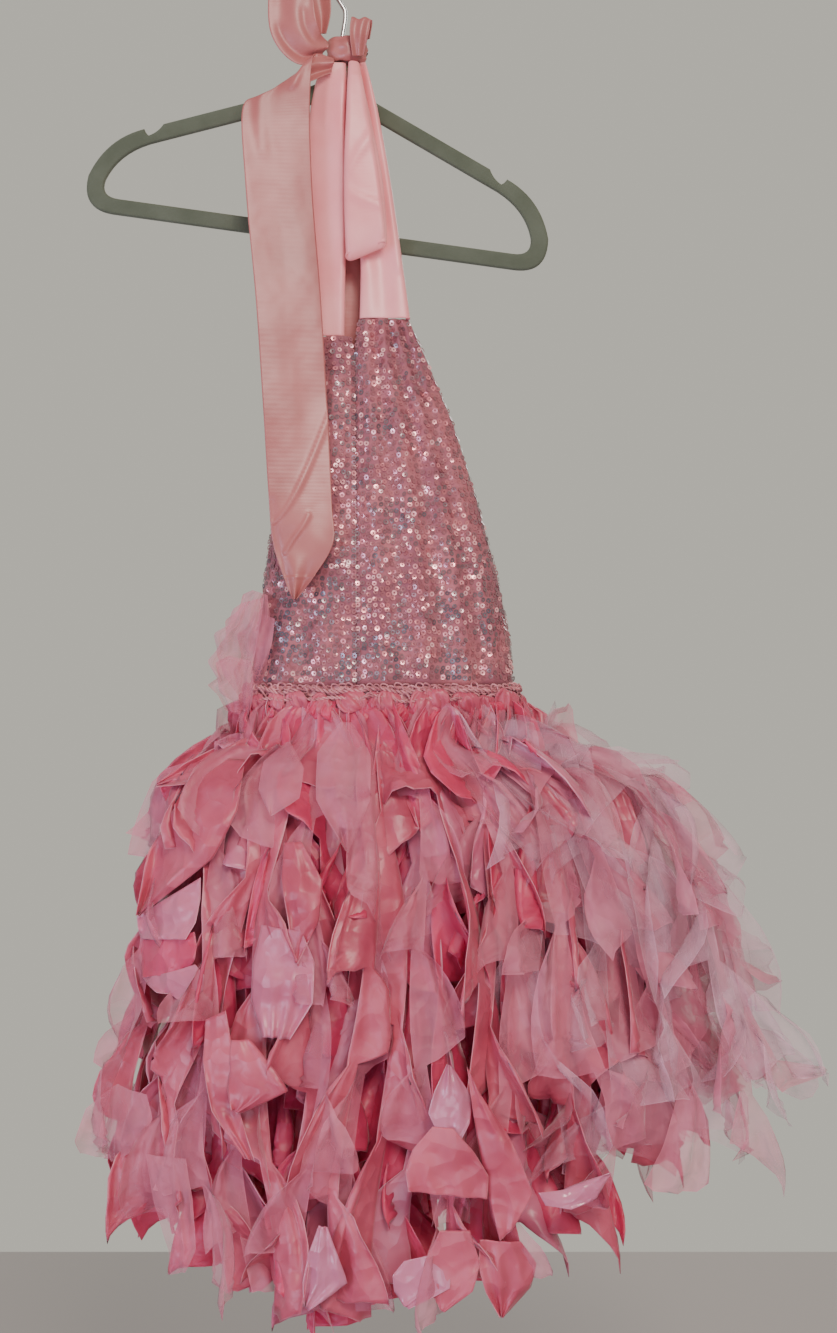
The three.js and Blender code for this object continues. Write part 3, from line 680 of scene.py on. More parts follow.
def trough_depth(across, along, width, length, troughs):
    """Depth of the creases at a point; each runs between two points given in shares of the ribbon."""
    depth = 0.0
    for start_x, start_y, end_x, end_y, deep, wide in troughs:
        line = Vector(((end_x - start_x) * width, (end_y - start_y) * length))
        here = Vector(((across - start_x) * width, (along - start_y) * length))
        share = min(max(here.dot(line) / line.length_squared, 0.0), 1.0)
        distance = (here - line * share).length
        depth += deep * math.exp(-(distance / wide) ** 2) * (1 - 0.35 * abs(2 * share - 1))
    return depth


def rolled(across, width, radius):
    """Where a point of the full ribbon lies when both edges roll back to leave `width` in view."""
    along = abs(across - 0.5) * RIBBON_WIDTH
    flat = min(width / 2 - radius, along)
    bent = min((along - flat) / radius, 1.15 * math.pi)
    return math.copysign(flat + radius * math.sin(bent), across - 0.5), radius * (1 - math.cos(bent))


def ribbon_grid(stations, rows, columns, pleats=(0, 0), troughs=(), wander=0.6, roll=0.0, seed=1):
    length = sum((Vector(a[:3]) - Vector(b[:3])).length for a, b in zip(stations, stations[1:]))
    grid = []
    middles = [Vector(through(stations, i / (rows - 1))[:3]) for i in range(rows)]
    for i in range(rows):
        along = i / (rows - 1)
        width, *aim = through(stations, along)[3:]
        aim = Vector(aim).normalized()
        ahead = (middles[min(i + 1, rows - 1)] - middles[max(i - 1, 0)]).normalized()
        facing = aim.cross(ahead).normalized()
        pinch = max(0.0, 1 - (width / RIBBON_WIDTH) ** 2) ** 2
        line = []
        for j in range(columns):
            across = j / (columns - 1)
            shift = pleats[1] * pinch * math.cos(TAU * pleats[0] * across + 0.7 * math.sin(5 * along))
            shift -= trough_depth(across, along, width, length, troughs)
            shift += wander * noise.noise(Vector((across * 2.2, along * length / 34, seed * 7.3)))
            aside = (across - 0.5) * width
            if roll:
                aside, back = rolled(across, width, min(roll, width / 3))
                shift += back
            line.append(middles[i] + aim * aside + facing * shift)
        grid.append(line)
    return grid, length


def ribbon_piece(node, stations, held=None, share=1.0, rows=90, columns=25, material=RIBBON_PAINTED_SHADE, **shape):
    """A stretch of ribbon for this solid; `held` is not used."""
    grid, length = ribbon_grid(stations, rows, columns, **shape)
    piece = one_sheet(node + "_ribbon", grid, RIBBON_WIDTH, length, material, RIBBON_WALL)
    finish(piece, "satin_ribbon", node)
    print(piece.name, "cut", RIBBON_WIDTH, "x", round(length), "mm, surface", round(grid_area(grid)), "mm2")
    return piece, length


# %% The stations
# Stations: x, y, z of the middle, width, and the direction of the width.
STRAP_LEFT = [(-14, -8.5, -82.6, 17, 1, 0, 0), (-18, -9.5, -100, 25, 0.95, -0.3, 0),
              (-20.5, -10, -130, 29, 0.95, -0.3, 0), (-22, -10, -195, 33, 0.95, -0.3, 0),
              (-24, -12, -245, 36, 0.98, -0.15, 0), (-25, -15, -291.4, 37, 1, 0, 0)]
STRAP_RIGHT = [(5, -8.5, -82.4, 9, 1, 0, 0), (10, -9, -120, 18, 1, 0, 0), (16, -9.5, -175, 26, 1, 0, 0),
               (21.5, -11, -230, 31, 1, 0, 0), (24.5, -15.5, -278, 38, 1, 0, 0)]
TAIL_FRONT = [(-15, -13.6, -86, 12, 0.2, 0, 0.98), (-31, -18, -90, 26, 0.45, 0, 0.9),
              (-47, -23.5, -99, 42, 0.8, 0, 0.62), (-57, -26, -119, 51, 0.97, 0.1, 0.12),
              (-55, -27, -180, 51, 0.97, 0.24, 0), (-48, -30, -262, 50, 0.97, 0.24, 0),
              (-42, -35, -350, 49, 0.97, 0.24, 0), (-38, -40, -420, 47, 0.99, 0.12, 0),
              (-36, -42, -450, 45, 1, 0, 0), (-39, -43, -474, 24, 1, 0, 0), (-42, -44, -492, 3, 1, 0, 0)]
TAIL_BACK = [(-4, 9.5, -82.4, 12, 1, 0, 0), (-2, 9, -125, 34, 1, 0, 0), (1, 10, -200, 46, 1, 0, 0),
             (3, 10, -290, 48, 1, 0, 0), (4, 11, -372, 48, 1, 0, 0), (0, 11, -398, 26, 1, 0, 0),
             (-4, 11, -416, 4, 1, 0, 0)]
LOOP_DOWN = [(1, -13.6, -84, 8, 1, 0, 0), (2, -20, -97, 11, 1, 0, 0), (4, -25, -126, 17, 1, 0, 0),
             (7, -27.5, -170, 26, 1, 0, 0), (10, -27, -218, 31, 0.96, 0, 0.28),
             (11, -22.5, -231.5, 31, 0.94, 0, 0.34), (11, -18, -218, 31, 0.96, 0, 0.28),
             (9, -16, -170, 26, 1, 0, 0), (5, -14.8, -126, 17, 1, 0, 0), (2.5, -13.6, -98, 9, 1, 0, 0)]
LOOP_UP = [(-20, -12.8, -74, 14, 0.3, 0, 0.95), (-33, -21, -75, 30, 0.6, 0, 0.8),
           (-44, -25, -60, 36, 0.93, 0, 0.37), (-46, -24, -34, 34, 1, 0, 0.05),
           (-42, -17, -12, 34, 1, 0, 0), (-35, -9, -16, 32, 1, 0, 0), (-30, -6.5, -40, 27, 1, 0, -0.1),
           (-27, -6, -58, 14, 0.9, 0, -0.3)]
LOOP_SMALL = [(4, -14, -79, 8, 1, 0, 0), (5, -17.5, -64, 14, 1, 0, 0), (6.5, -16.5, -52, 15, 1, 0, 0),
              (8, -13.8, -54, 14, 1, 0, 0), (8.5, -12.9, -66, 9, 1, 0, 0)]

# %% Straps
ribbon_piece("strap_left", STRAP_LEFT, "hung", rows=100, columns=33, material=RIBBON_PAINTED_LIGHT,
             pleats=(1.0, 0.6), roll=3.0, seed=2, troughs=[(0.45, 0.0, 0.5, 0.4, 0.8, 2.0)])
ribbon_piece("strap_right", STRAP_RIGHT, "hung", columns=45, material=RIBBON_PAINTED_LIGHT,
             pleats=(2.2, 4.0), roll=2.6, seed=3,
             troughs=[(0.7, 0.0, 0.75, 0.8, 2.4, 1.8), (0.5, 0.05, 0.58, 0.7, 1.6, 1.6)])

# %% Tails
# A ribbon that was folded keeps sharp creases: one long slanted pair, and one across near the point.
tail_front, tail_front_length = ribbon_piece(
    "tail_front", TAIL_FRONT, rows=220, columns=45, pleats=(1.5, 2.5), wander=1.3, seed=4,
    troughs=[(1.05, 0.60, 0.05, 0.74, 1.6, 1.6), (0.62, 0.72, 0.18, 0.83, 1.8, 1.8),
             (0.0, 0.91, 1.0, 0.905, 1.0, 1.3), (0.05, 0.70, 0.12, 0.90, -1.2, 3.0),
             (0.15, 0.16, 0.3, 0.36, 1.5, 6.0), (0.9, 0.12, 0.72, 0.26, 1.8, 4.0)])
ribbon_piece("tail_back", TAIL_BACK, "hung", 0.9, rows=110, pleats=(1.5, 2.5), wander=1.5, seed=5,
             troughs=[(0.2, 0.3, 0.7, 0.45, 1.5, 4.0), (0.8, 0.6, 0.3, 0.72, 1.5, 4.0)])

# %% Loops
ribbon_piece("bow_loop_down", LOOP_DOWN, "gathered", 0.8, rows=140, columns=41, material=RIBBON_PAINTED_LIGHT,
             pleats=(1.2, 1.6), roll=3.4, wander=1.4, seed=6,
             troughs=[(0.3, 0.0, 0.25, 0.3, 1.2, 2.0), (0.95, 0.22, 0.3, 0.33, 1.5, 1.8),
                      (0.6, 0.1, 0.9, 0.2, 1.2, 1.8), (0.2, 0.36, 0.9, 0.40, 1.2, 1.6)])
ribbon_piece("bow_loop_up", LOOP_UP, "gathered", 0.85, rows=100, columns=33, pleats=(1.5, 3.0),
             wander=1.2, seed=7, troughs=[(0.3, 0.0, 0.2, 0.3, 1.6, 3.0), (0.7, 0.02, 0.75, 0.34, 1.6, 3.0)])
loop_small, loop_small_length = ribbon_piece(
    "bow_loop_small", LOOP_SMALL, rows=50, columns=33, pleats=(1.5, 1.5), wander=2.0, seed=8)

# %% The knot
KNOT_STEPS, KNOT_CORNERS = 72, 28
KNOT_ROUND = 90
KNOT = {"x": -5.0, "half_width": 12.0, "half_depth": 8.5, "z": -71.5, "half": 9.5, "thick": 3.2}


def knot_section(angle):
    out = Vector((math.cos(angle), -math.sin(angle), 0))
    crumple = 1 + 0.16 * math.sin(angle * 5 + 1) + 0.08 * math.sin(angle * 9)
    middle = Vector((KNOT["x"] + KNOT["half_width"] * math.cos(angle),
                     -KNOT["half_depth"] * math.sin(angle), KNOT["z"]))
    section = []
    for c in range(KNOT_CORNERS):
        turn = TAU * c / KNOT_CORNERS
        outside = max(math.cos(turn), 0.0)
        thick = KNOT["thick"] * math.cos(turn) * (crumple if outside else 0.9)
        crease = abs(noise.noise(Vector((math.sin(turn) * 3.5, angle * 0.8, 8.1))))
        pleat = 4.5 * outside * (0.25 - crease)
        height = KNOT["half"] * math.sin(turn) * (0.85 + 0.15 * crumple)
        section.append(middle + out * (thick + pleat) + Vector((0, 0, height)))
    return section


knot_rows = [knot_section(TAU * k / KNOT_STEPS) for k in range(KNOT_STEPS + 1)]
knot = one_sheet("bow_knot_ribbon", [row + row[:1] for row in knot_rows], RIBBON_WIDTH, KNOT_ROUND, RIBBON_PAINTED_SHADE)
weld(knot)
finish(knot, "satin_ribbon", "bow_knot")
print("knot", len(knot.data.polygons), "faces")

# %% [markdown]
# ## The bodice
#
# The front is two halves that meet at a slit, gathered at the top. Its plan at each height is a flat
# oval, as a worn garment lies on a hanger. The back is a low band gathered on elastic. The shell
# carries the folds; the sequins follow it on seats that are worked out from the same function.

# %% The bodice's plan
# z, left, right, depth of the front, depth of the back, middle line
BODICE = [(-278.5, -40, 42, 7, 0, -9), (-310, -44, 56, 12, 6, -8), (-355, -50.5, 75, 19, 12, -7),
          (-415, -58.5, 94, 27, 20, -5), (-475, -67, 110, 33, 29, -3), (-520, -73, 119, 36, 34, -1),
          (-556, -78, 122, 38, 37, 0)]
# z, where the right half starts, where the left half starts
SLIT = [(-278.5, 5, -3.5), (-292, 3.2, -1.2), (-311, 1.9, 1.3), (-415, 3, 2.4), (-556, 4, 3.4)]
# top, folds, fold depth, tuck at the slit, column of the slit, angle of its side
HALVES = {"right": (-278.5, 5, 2.2, 5, 1, 0.012), "left": (-292, 3, 1.8, 4, 2, math.pi - 0.012)}
BODICE_BOTTOM = -556.0
BACK_TOP = -497.0
CLOTH_WALL = 1.0


def bodice_point(z, angle):
    _, left, right, front, back, middle = row_at(BODICE, z)
    half = (right - left) / 2
    depth = front if math.sin(angle) > 0 else back
    return Vector((left + half + half * math.cos(angle), middle - depth * math.sin(angle), z))


def half_point(side, z, across):
    """A point of one front half: `across` runs from the slit to the side."""
    _, folds, fold_depth, tuck, column, side_angle = HALVES[side]
    _, left, right, *_ = row_at(BODICE, z)
    half = (right - left) / 2
    share = min(max((row_at(SLIT, z)[column] - left - half) / half, -1.0), 1.0)
    point = bodice_point(z, mix(math.acos(share), side_angle, across))
    fade = math.sin(math.pi * min(across * 1.25, 1.0) ** 0.8)
    point.y += fold_depth * math.cos(TAU * folds * across) * fade
    point.y += tuck * math.exp(-across * 14) * mix(1.0, 0.25, smooth(-z, 380, 500))
    point.y += 0.8 * noise.noise(Vector((across * 6, z / 40, 3.1)))
    return point


def back_point(down, across):
    z = mix(BACK_TOP, BODICE_BOTTOM, down)
    point = bodice_point(z, mix(math.pi + 0.014, TAU - 0.014, across))
    edge = max(math.sin(math.pi * across), 0.0) ** 0.3
    point.y += 1.3 * math.cos(TAU * 13 * across) * edge
    point.y += 0.5 * math.cos(TAU * 41 * across + 3 * down) * edge
    return point


# %% Front and back shells
for side in HALVES:
    top = HALVES[side][0]
    grid = [[half_point(side, mix(top, BODICE_BOTTOM, i / 60), j / 48) for j in range(49)] for i in range(61)]
    if side == "left":
        grid = [list(reversed(row)) for row in grid]
    piece = one_sheet(f"bodice_{side}_tulle", grid, 110, 270, TULLE, CLOTH_WALL)
    finish(piece, "sequin_fabric", f"bodice_front_{side}")
grid = [[back_point(i / 14, j / 260) for j in range(261)] for i in range(15)]
back_shell = one_sheet("back_band_tulle", grid, 270, 60, TULLE, CLOTH_WALL)
finish(back_shell, "sequin_fabric", "back_band")

# %% [markdown]
# ## Sequins
#
# Sequin tulle has cupped discs, 4.5 mm across, sewn through a middle hole along vertical threads. Each
# is a ring of eight corners with a turned-up rim, because hundreds of copies must stay light. Real
# discs mirror different parts of a room and so show as patches of rose, silver and grey. Their colour
# comes from a random number and a broad noise and paints these in: a painted reflection, greyer lower
# down, with painted glints on a few discs.

# %% One sequin and its seats
SEQUIN_RADIUS = 2.25
SEQUIN_HOLE = 0.8
SEQUIN_LIFT = 1.1
THREAD_SPACING = 4.5
SEQUIN_SPACING = 4.2
# most lean and most turn in radians, and the smallest size
SEQUIN_POSE = (0.34, 3.1, 0.8)
SAMPLES_ACROSS = 60


def sequin():
    corners = 8
    rings = [(SEQUIN_HOLE, 0.0), (SEQUIN_RADIUS * 0.7, 0.03), (SEQUIN_RADIUS, 0.1)]
    points = [(radius * math.cos(TAU * c / corners), radius * math.sin(TAU * c / corners), height)
              for radius, height in rings for c in range(corners)]
    return template("sequin", points, ring_faces(len(rings), corners))


def seat_on(surface, row, across, dice, outward):
    """A seat on the outer side of `surface(row, across)`: place, lie, run and tone."""
    step = 0.004
    place = surface(row, across)
    over = surface(row, min(across + step, 1)) - surface(row, max(across - step, 0))
    down = surface(row + 0.5, across) - surface(row - 0.5, across)
    lie = over.cross(down).normalized()
    # This is a painted reflection: broad patches of rose, silver and grey, greyer lower down, and a painted
    # glint, near white, on a few discs.
    patch = noise.noise(Vector((place.x / 21, place.z / 34, place.y / 30)))
    low = smooth(-place.z, 420, 540)
    reflection_tone = min(max(dice.gauss(0.46 - 0.1 * low, 0.13) + (0.3 + 0.2 * low) * patch, 0.0), 0.85)
    painted_glint = noise.noise(Vector((place.x / 13, place.z / 24, place.y / 30 + 9.0)))
    if dice.random() < 0.05 + 0.8 * max(painted_glint - 0.1, 0.0):
        reflection_tone = dice.uniform(0.9, 1.0)
    if lie.dot(outward) < 0:
        lie = -lie
    return place + lie * SEQUIN_LIFT, lie, down.normalized(), reflection_tone


def sequin_seats(surface, top, bottom, dice, outward):
    seats = []
    rows = int((top - bottom) / SEQUIN_SPACING)
    for i in range(rows):
        z = top - (i + 0.5) * SEQUIN_SPACING
        line = [surface(z, k / SAMPLES_ACROSS) for k in range(SAMPLES_ACROSS + 1)]
        reach, target = 0.0, THREAD_SPACING * 0.25
        for k in range(SAMPLES_ACROSS):
            piece_length = (line[k + 1] - line[k]).length
            while reach + piece_length > target:
                across = (k + (target - reach) / piece_length) / SAMPLES_ACROSS
                row = z + dice.uniform(-1.2, 1.2)
                seats.append(seat_on(surface, row, min(across, 0.995), dice, outward))
                target += THREAD_SPACING + dice.uniform(-0.9, 0.9)
            reach += piece_length
    return seats


# %% Sequins on the bodice
for side in HALVES:
    dice = random.Random(21 if side == "right" else 22)
    seats = sequin_seats(lambda z, across: half_point(side, z, across), HALVES[side][0] - 1,
                         BODICE_BOTTOM, dice, Vector((0, -1, 0)))
    piece = set_on_seats(f"bodice_{side}_sequins", seats, sequin(), SEQUINS, *SEQUIN_POSE)
    finish(piece, "sequin_fabric")
dice = random.Random(23)
seats = sequin_seats(lambda z, across: back_point((BACK_TOP - z) / (BACK_TOP - BODICE_BOTTOM), across),
                     BACK_TOP - 2, BODICE_BOTTOM, dice, Vector((0, 1, 0)))
piece = set_on_seats("back_band_sequins", seats, sequin(), SEQUINS, *SEQUIN_POSE)
finish(piece, "sequin_fabric")

# %% [markdown]
# ## The waist
#
# The waistband is a crocheted elastic. Its chain stitches run round in rows, a twisted thread closes
# its upper edge, and every strip of the skirt is hitched to it by a knot. The elastic itself is a
# plain band. The stitches are small closed tubes on it, and each knot is a pleated bight of cloth.

# %% The elastic
WAIST_X = 22.0
WAIST_HALF_WIDTH, WAIST_HALF_DEPTH = 102.0, 40.0
WAIST_TOP, WAIST_BOTTOM = -556.4, -590.0
WAIST_ROUND = 490


def waist_normal(angle):
    return Vector((math.cos(angle) / WAIST_HALF_WIDTH, -math.sin(angle) / WAIST_HALF_DEPTH, 0)).normalized()


def waist_point(angle, out, z):
    on_oval = Vector((WAIST_X + WAIST_HALF_WIDTH * math.cos(angle), -WAIST_HALF_DEPTH * math.sin(angle), z))
    return on_oval + waist_normal(angle) * out


def even_angles(count, half_width=WAIST_HALF_WIDTH, half_depth=WAIST_HALF_DEPTH, phase=0.0):
    """Angles that divide an oval into equal lengths."""
    fine = 720
    reach = [0.0]
    for k in range(fine):
        angle = TAU * (k + 0.5) / fine
        reach.append(reach[-1] + math.hypot(half_width * math.sin(angle), half_depth * math.cos(angle)))
    angles, k = [], 0
    for n in range(count):
        target = ((n + phase) / count) % 1.0 * reach[-1]
        while reach[k + 1] < target:
            k += 1
        if reach[k] > target:
            k = max(j for j in range(fine) if reach[j] <= target)
        angles.append(TAU * (k + (target - reach[k]) / (reach[k + 1] - reach[k])) / fine)
    return angles


around = even_angles(200)
elastic_grid = [[waist_point(angle, 0.4 * math.cos(40 * angle), mix(WAIST_TOP, WAIST_BOTTOM, i / 12))
                 for angle in around + around[:1]] for i in range(13)]
waistband = one_sheet("waistband_elastic", elastic_grid, WAIST_ROUND, 34, YARN, 2.0)
finish(waistband, "crochet_elastic", "waistband")
print("waistband", round(grid_area(elastic_grid)), "mm2")


# %% Tubes along paths
def tube(path, radii, corners=7, closed=False):
    """Points and faces of a round tube along a path of points, with its own radius at each."""
    points = []
    count = len(path)
    side = None
    for k, place in enumerate(path):
        after = path[(k + 1) % count] if closed else path[min(k + 1, count - 1)]
        before = path[k - 1] if closed or k else path[0]
        ahead = (after - before).normalized()
        if side is None:
            side = ahead.orthogonal().normalized()
        side = (side - ahead * side.dot(ahead)).normalized()
        up = ahead.cross(side)
        points += [place + (side * math.cos(TAU * c / corners) + up * math.sin(TAU * c / corners)) * radii[k]
                   for c in range(corners)]
    faces = ring_faces(count, corners, closed)
    if not closed:
        faces.append(tuple(reversed(range(corners))))
        faces.append(tuple(range(len(points) - corners, len(points))))
    return points, faces


def tubes_piece(name, tubes, material):
    points, faces = [], []
    for more_points, more_faces in tubes:
        start = len(points)
        points += more_points
        faces += [tuple(start + corner for corner in face) for face in more_faces]
    piece = template(name, points, faces)
    piece.data.materials.append(material)
    shade_smooth(piece.data)
    return piece


# %% The twisted thread along the upper edge and under the knots
THREAD_STEPS = 900


def twisted_thread(z, out, pitch, radius, wave):
    plies = []
    for ply in range(2):
        path = []
        for k, angle in enumerate(even_angles(THREAD_STEPS)):
            turn = TAU * k / THREAD_STEPS * round(WAIST_ROUND / pitch) + math.pi * ply
            height = z + wave * noise.noise(Vector((angle * 4, z, 0)))
            path.append(waist_point(angle, out + radius * math.cos(turn), height + radius * math.sin(turn)))
        plies.append(tube(path, [radius * 0.95] * len(path), 5, closed=True))
    return plies


threads = twisted_thread(-560.0, 4.0, 8, 0.9, 4.0) + twisted_thread(-566.0, 6.5, 7, 0.7, 7.0)
thread = tubes_piece("waist_twisted_thread", threads, YARN)
finish(thread, "crochet_elastic")
print("twisted thread", len(thread.data.polygons), "faces")


# %% Chain stitches
def chain_stitch():
    """One loop of a crochet chain, 7 mm long, that lies in its own XY plane."""
    path = []
    for k in range(14):
        a = TAU * k / 14
        path.append(Vector((3.4 * math.cos(a), 2.5 * math.sin(a) * (1 + 0.35 * math.cos(a)),
                            0.8 * math.sin(2 * a))))
    points, faces = tube(path, [0.72] * len(path), 6, closed=True)
    return template("stitch", points, faces)


dice = random.Random(31)
stitch_seats = []
for course, z in enumerate((-557.5, -560.5, -564, -568, -574)):
    for angle in even_angles(90, phase=0.5 * (course % 2)):
        along = Vector((-math.sin(angle) * WAIST_HALF_WIDTH, -math.cos(angle) * WAIST_HALF_DEPTH, 0))
        place = waist_point(angle, 2.2 + dice.uniform(0, 1.4), z + dice.uniform(-1.3, 1.3))
        stitch_seats.append((place, waist_normal(angle), along.normalized(), dice.random()))
stitches = set_on_seats("waist_chain_stitches", stitch_seats, chain_stitch(), YARN, 0.35, 0.5, 0.75)
finish(stitches, "crochet_elastic")


# %% Hitched knots
def hitch(size):
    """The bight of a strip where it is hitched to the band: it comes out, swells and goes back in."""
    rows, columns = 15, 21
    points = []
    for i in range(rows):
        turn = math.pi * i / (rows - 1)
        for j in range(columns):
            across = 2 * j / (columns - 1) - 1
            pleat = 1.3 * (1 - 3 * abs(noise.noise(Vector((across * 4.1, 0.4, turn * 0.5)))))
            width = 3.5 + 8.0 * math.sin(turn) ** 0.8
            out = (4.0 + 1.6 * pleat) * math.sin(turn) ** 0.8 * (1 - 0.6 * across ** 2)
            points.append((size * (9.5 * math.cos(turn) + 1.5 * across), size * width * across, size * out))
    faces = [(i * columns + j, i * columns + j + 1, (i + 1) * columns + j + 1, (i + 1) * columns + j)
             for i in range(rows - 1) for j in range(columns - 1)]
    return template("hitch", points, faces)


HITCHES_ROUND = 27
dice = random.Random(37)
# The lower, smaller knots are in the darker satin copy: painted shade, dark tufts that stand for the shadowed
# holes between the knots.
for name, material, height, out, size, phase in (("upper", SATIN_FRONT, -569, 4.5, 1.05, 0.2),
                                                 ("lower", SATIN_PAINTED_SHADE, -577, 6.0, 0.7, 0.7)):
    hitch_seats = []
    for angle in even_angles(HITCHES_ROUND, phase=phase):
        place = waist_point(angle + dice.uniform(-0.04, 0.04), out, height + dice.uniform(-3, 3))
        run = Vector((dice.uniform(-0.7, 0.7), 0, -1)).normalized()
        hitch_seats.append((place, waist_normal(angle), run, dice.random()))
    hitches = set_on_seats(f"waist_hitches_{name}", hitch_seats, hitch(size), material, 0.3, 0.3, 0.55)
    finish(hitches, "skirt_satin")

# %% [markdown]
# ## The skirt
#
# A strip starts narrow at its knot and is slit from the left and the right in turn, so it falls into
# leaves that point down and outwards on alternate sides. One function makes a leafy strip along any
# path: at each neck the strip turns a little, each leaf swells to its widest below its middle, droops
# towards its corner, and carries soft folds that fan out of the neck.

# %% A leafy strip
LEAF_ROWS = 12
LEAF_COLUMNS = 11
CORNER_AT = 7 / 12
HALF_NECK = 4.5
PATH_STEPS = 240


def leaf_swell(s):
    """Width of a leaf from neck to neck, as a share of its widest; its two cuts meet in a corner."""
    if s < CORNER_AT:
        return (s / CORNER_AT) ** 0.75
    return 1 - ((s - CORNER_AT) / (1 - CORNER_AT)) ** 0.9


def even_path(points, count):
    """The path through `points` as `count` points at equal steps."""
    reach = [0.0]
    for a, b in zip(points, points[1:]):
        reach.append(reach[-1] + (b - a).length)
    path, k = [], 0
    for n in range(count):
        target = reach[-1] * n / (count - 1)
        while k < len(points) - 2 and reach[k + 1] < target:
            k += 1
        path.append(points[k].lerp(points[k + 1], (target - reach[k]) / (reach[k + 1] - reach[k])))
    return path, reach[-1]


# The skirt is pressed flat by its weight: cloth that swings out past these depths is held back.
FRONT_MOST, BACK_MOST = -135.0, 103.0


def held_back(point):
    point.y -= 0.65 * (max(point.y - BACK_MOST, 0.0) + min(point.y - FRONT_MOST, 0.0))
    return point


def skirt_outward(point):
    return Vector(((point.x - WAIST_X) / 5, point.y, 12)).normalized()


# %% Leaves along a path
def leafy_grid(points, lobes, wide, dice, twist=1.2, curl=11.0, droop=0.75, fold=4.5):
    """A strip slit from both edges in turn: rows run down it, columns across it."""
    path, length = even_path(points, PATH_STEPS + 1)
    lobes += dice.choice((-1, 0, 0, 1))
    ends = [0.0]
    for k in range(lobes):
        ends.append(ends[-1] + mix(1.35, 0.85, k / lobes) * dice.uniform(0.6, 1.4))
    widths = [wide * dice.uniform(0.75, 1.25) for _ in range(lobes)]
    curls = [curl * dice.uniform(-0.6, 1.0) for _ in range(lobes)]
    droops = [droop * dice.uniform(0.2, 1.5) for _ in range(lobes)]
    turns = [twist * dice.uniform(-1, 1) for _ in range(lobes + 1)]
    phases = [dice.uniform(0, TAU) for _ in range(lobes)]
    first = dice.choice((-1, 1))
    grid = []
    for i in range(lobes * LEAF_ROWS + 1):
        k = min(i // LEAF_ROWS, lobes - 1)
        s = i / LEAF_ROWS - k
        side = first * (-1) ** k
        place = int(round(mix(ends[k], ends[k + 1], s) / ends[-1] * PATH_STEPS))
        point = path[place]
        ahead = (path[min(place + 3, PATH_STEPS)] - path[max(place - 3, 0)]).normalized()
        away = skirt_outward(point)
        away = (away - ahead * away.dot(ahead)).normalized()
        level = away.cross(ahead)
        turn = mix(turns[k], turns[k + 1], smooth(s))
        over = level * math.cos(turn) + away * math.sin(turn)
        face = away * math.cos(turn) - level * math.sin(turn)
        drop = ahead.lerp(Vector((0, 0, -1)), 0.6)
        swell = widths[k] * leaf_swell(s)
        line = []
        for j in range(LEAF_COLUMNS):
            reach = mix(-HALF_NECK, HALF_NECK + swell, j / (LEAF_COLUMNS - 1))
            share = max(reach, 0.0) / widths[k]
            free = min(share * 3, 1)
            off = curls[k] * share ** 2
            off += 0.6 * fold * free * math.sin(TAU * (1.3 * share - 0.5 * s) + phases[k])
            # Crisp folds fan out of the neck: equal values lie along rays from it.
            ray = share / (s + 0.2)
            crease = abs(noise.noise(Vector((ray * 1.7, i / 30, phases[k] * 9))))
            crumple = abs(noise.noise(Vector((share * 2.6, i / 4, phases[k] * 9))))
            off += 1.2 * fold * free * (1 - 2.4 * crease) + 3.0 * free * (0.4 - crumple)
            line.append(held_back(point + over * (side * reach * (1 - 0.3 * share ** 2)) + face * off
                                  + drop * (droops[k] * widths[k] * share ** 1.15)))
        grid.append(line if side > 0 else line[::-1])
    return grid, length


# %% The skirt's shape
# z, left, right, front, back
SKIRT = [(-598, -85.5, 129.5, -45.5, 45.5), (-612, -116, 188, -60, 54), (-631, -146, 238, -72, 60),
         (-660, -148, 258, -84, 66), (-690, -152, 272, -94, 70), (-720, -160, 288, -101, 74),
         (-755, -163, 298, -106, 77), (-800, -164, 310, -111, 80), (-850, -184, 336, -116, 83),
         (-893, -192, 326, -120, 85), (-935, -180, 302, -122, 86), (-1005, -172, 284, -124, 88)]
SKIRT_ROOT = -572.0
SKIRT_OVAL = (200, 90)
SWAY = 13.0
STEPS_DOWN = 40


def skirt_point(z, angle, spread, out):
    """A point of one layer of the skirt; `spread` is how far the layer follows the outline."""
    _, left, right, front, back = row_at(SKIRT, z)
    reach = right - WAIST_X if math.cos(angle) > 0 else WAIST_X - left
    depth = -front if math.sin(angle) > 0 else back
    along = mix(WAIST_HALF_WIDTH + out, reach - 8 + out, spread)
    across = mix(WAIST_HALF_DEPTH + out, depth - 8 + out, spread)
    return Vector((WAIST_X + along * math.cos(angle), -across * math.sin(angle), z))


# %% Strips all round
def hanging_path(angle, spread, out, end, dice):
    """A strip's middle line from its knot to its end."""
    start = waist_point(angle, 7.0, SKIRT_ROOT)
    wave, phase = dice.uniform(0.6, 1.3), dice.uniform(0, TAU)
    points = [waist_point(angle, 4.0, SKIRT_ROOT + 4), start]
    for k in range(1, STEPS_DOWN + 1):
        down = k / STEPS_DOWN
        z = mix(SKIRT_ROOT - 8, end, down)
        grown = smooth(down, 0.0, 0.3)
        point = skirt_point(z, angle, spread, mix(6.0, out, grown))
        level = Vector((-math.sin(angle), -math.cos(angle), 0))
        points.append(point + level * (SWAY * grown * math.sin(TAU * wave * down + phase)))
    return points


def skirt_strips(angles, spread, outs, lobes, wide, dice, end=-1000.0, lift=64.0, **shape):
    """Grids for strips at these angles, with their lengths."""
    strips = []
    for n, angle in enumerate(angles):
        side = math.cos(angle)
        bottom = end + lift * (1.8 * side ** 1.3 if side > 0 else side ** 2) + dice.uniform(-16, 16)
        points = hanging_path(angle, spread(angle), outs[n % len(outs)], bottom, dice)
        strips.append(leafy_grid(points, lobes, wide, dice, **shape))
    return strips


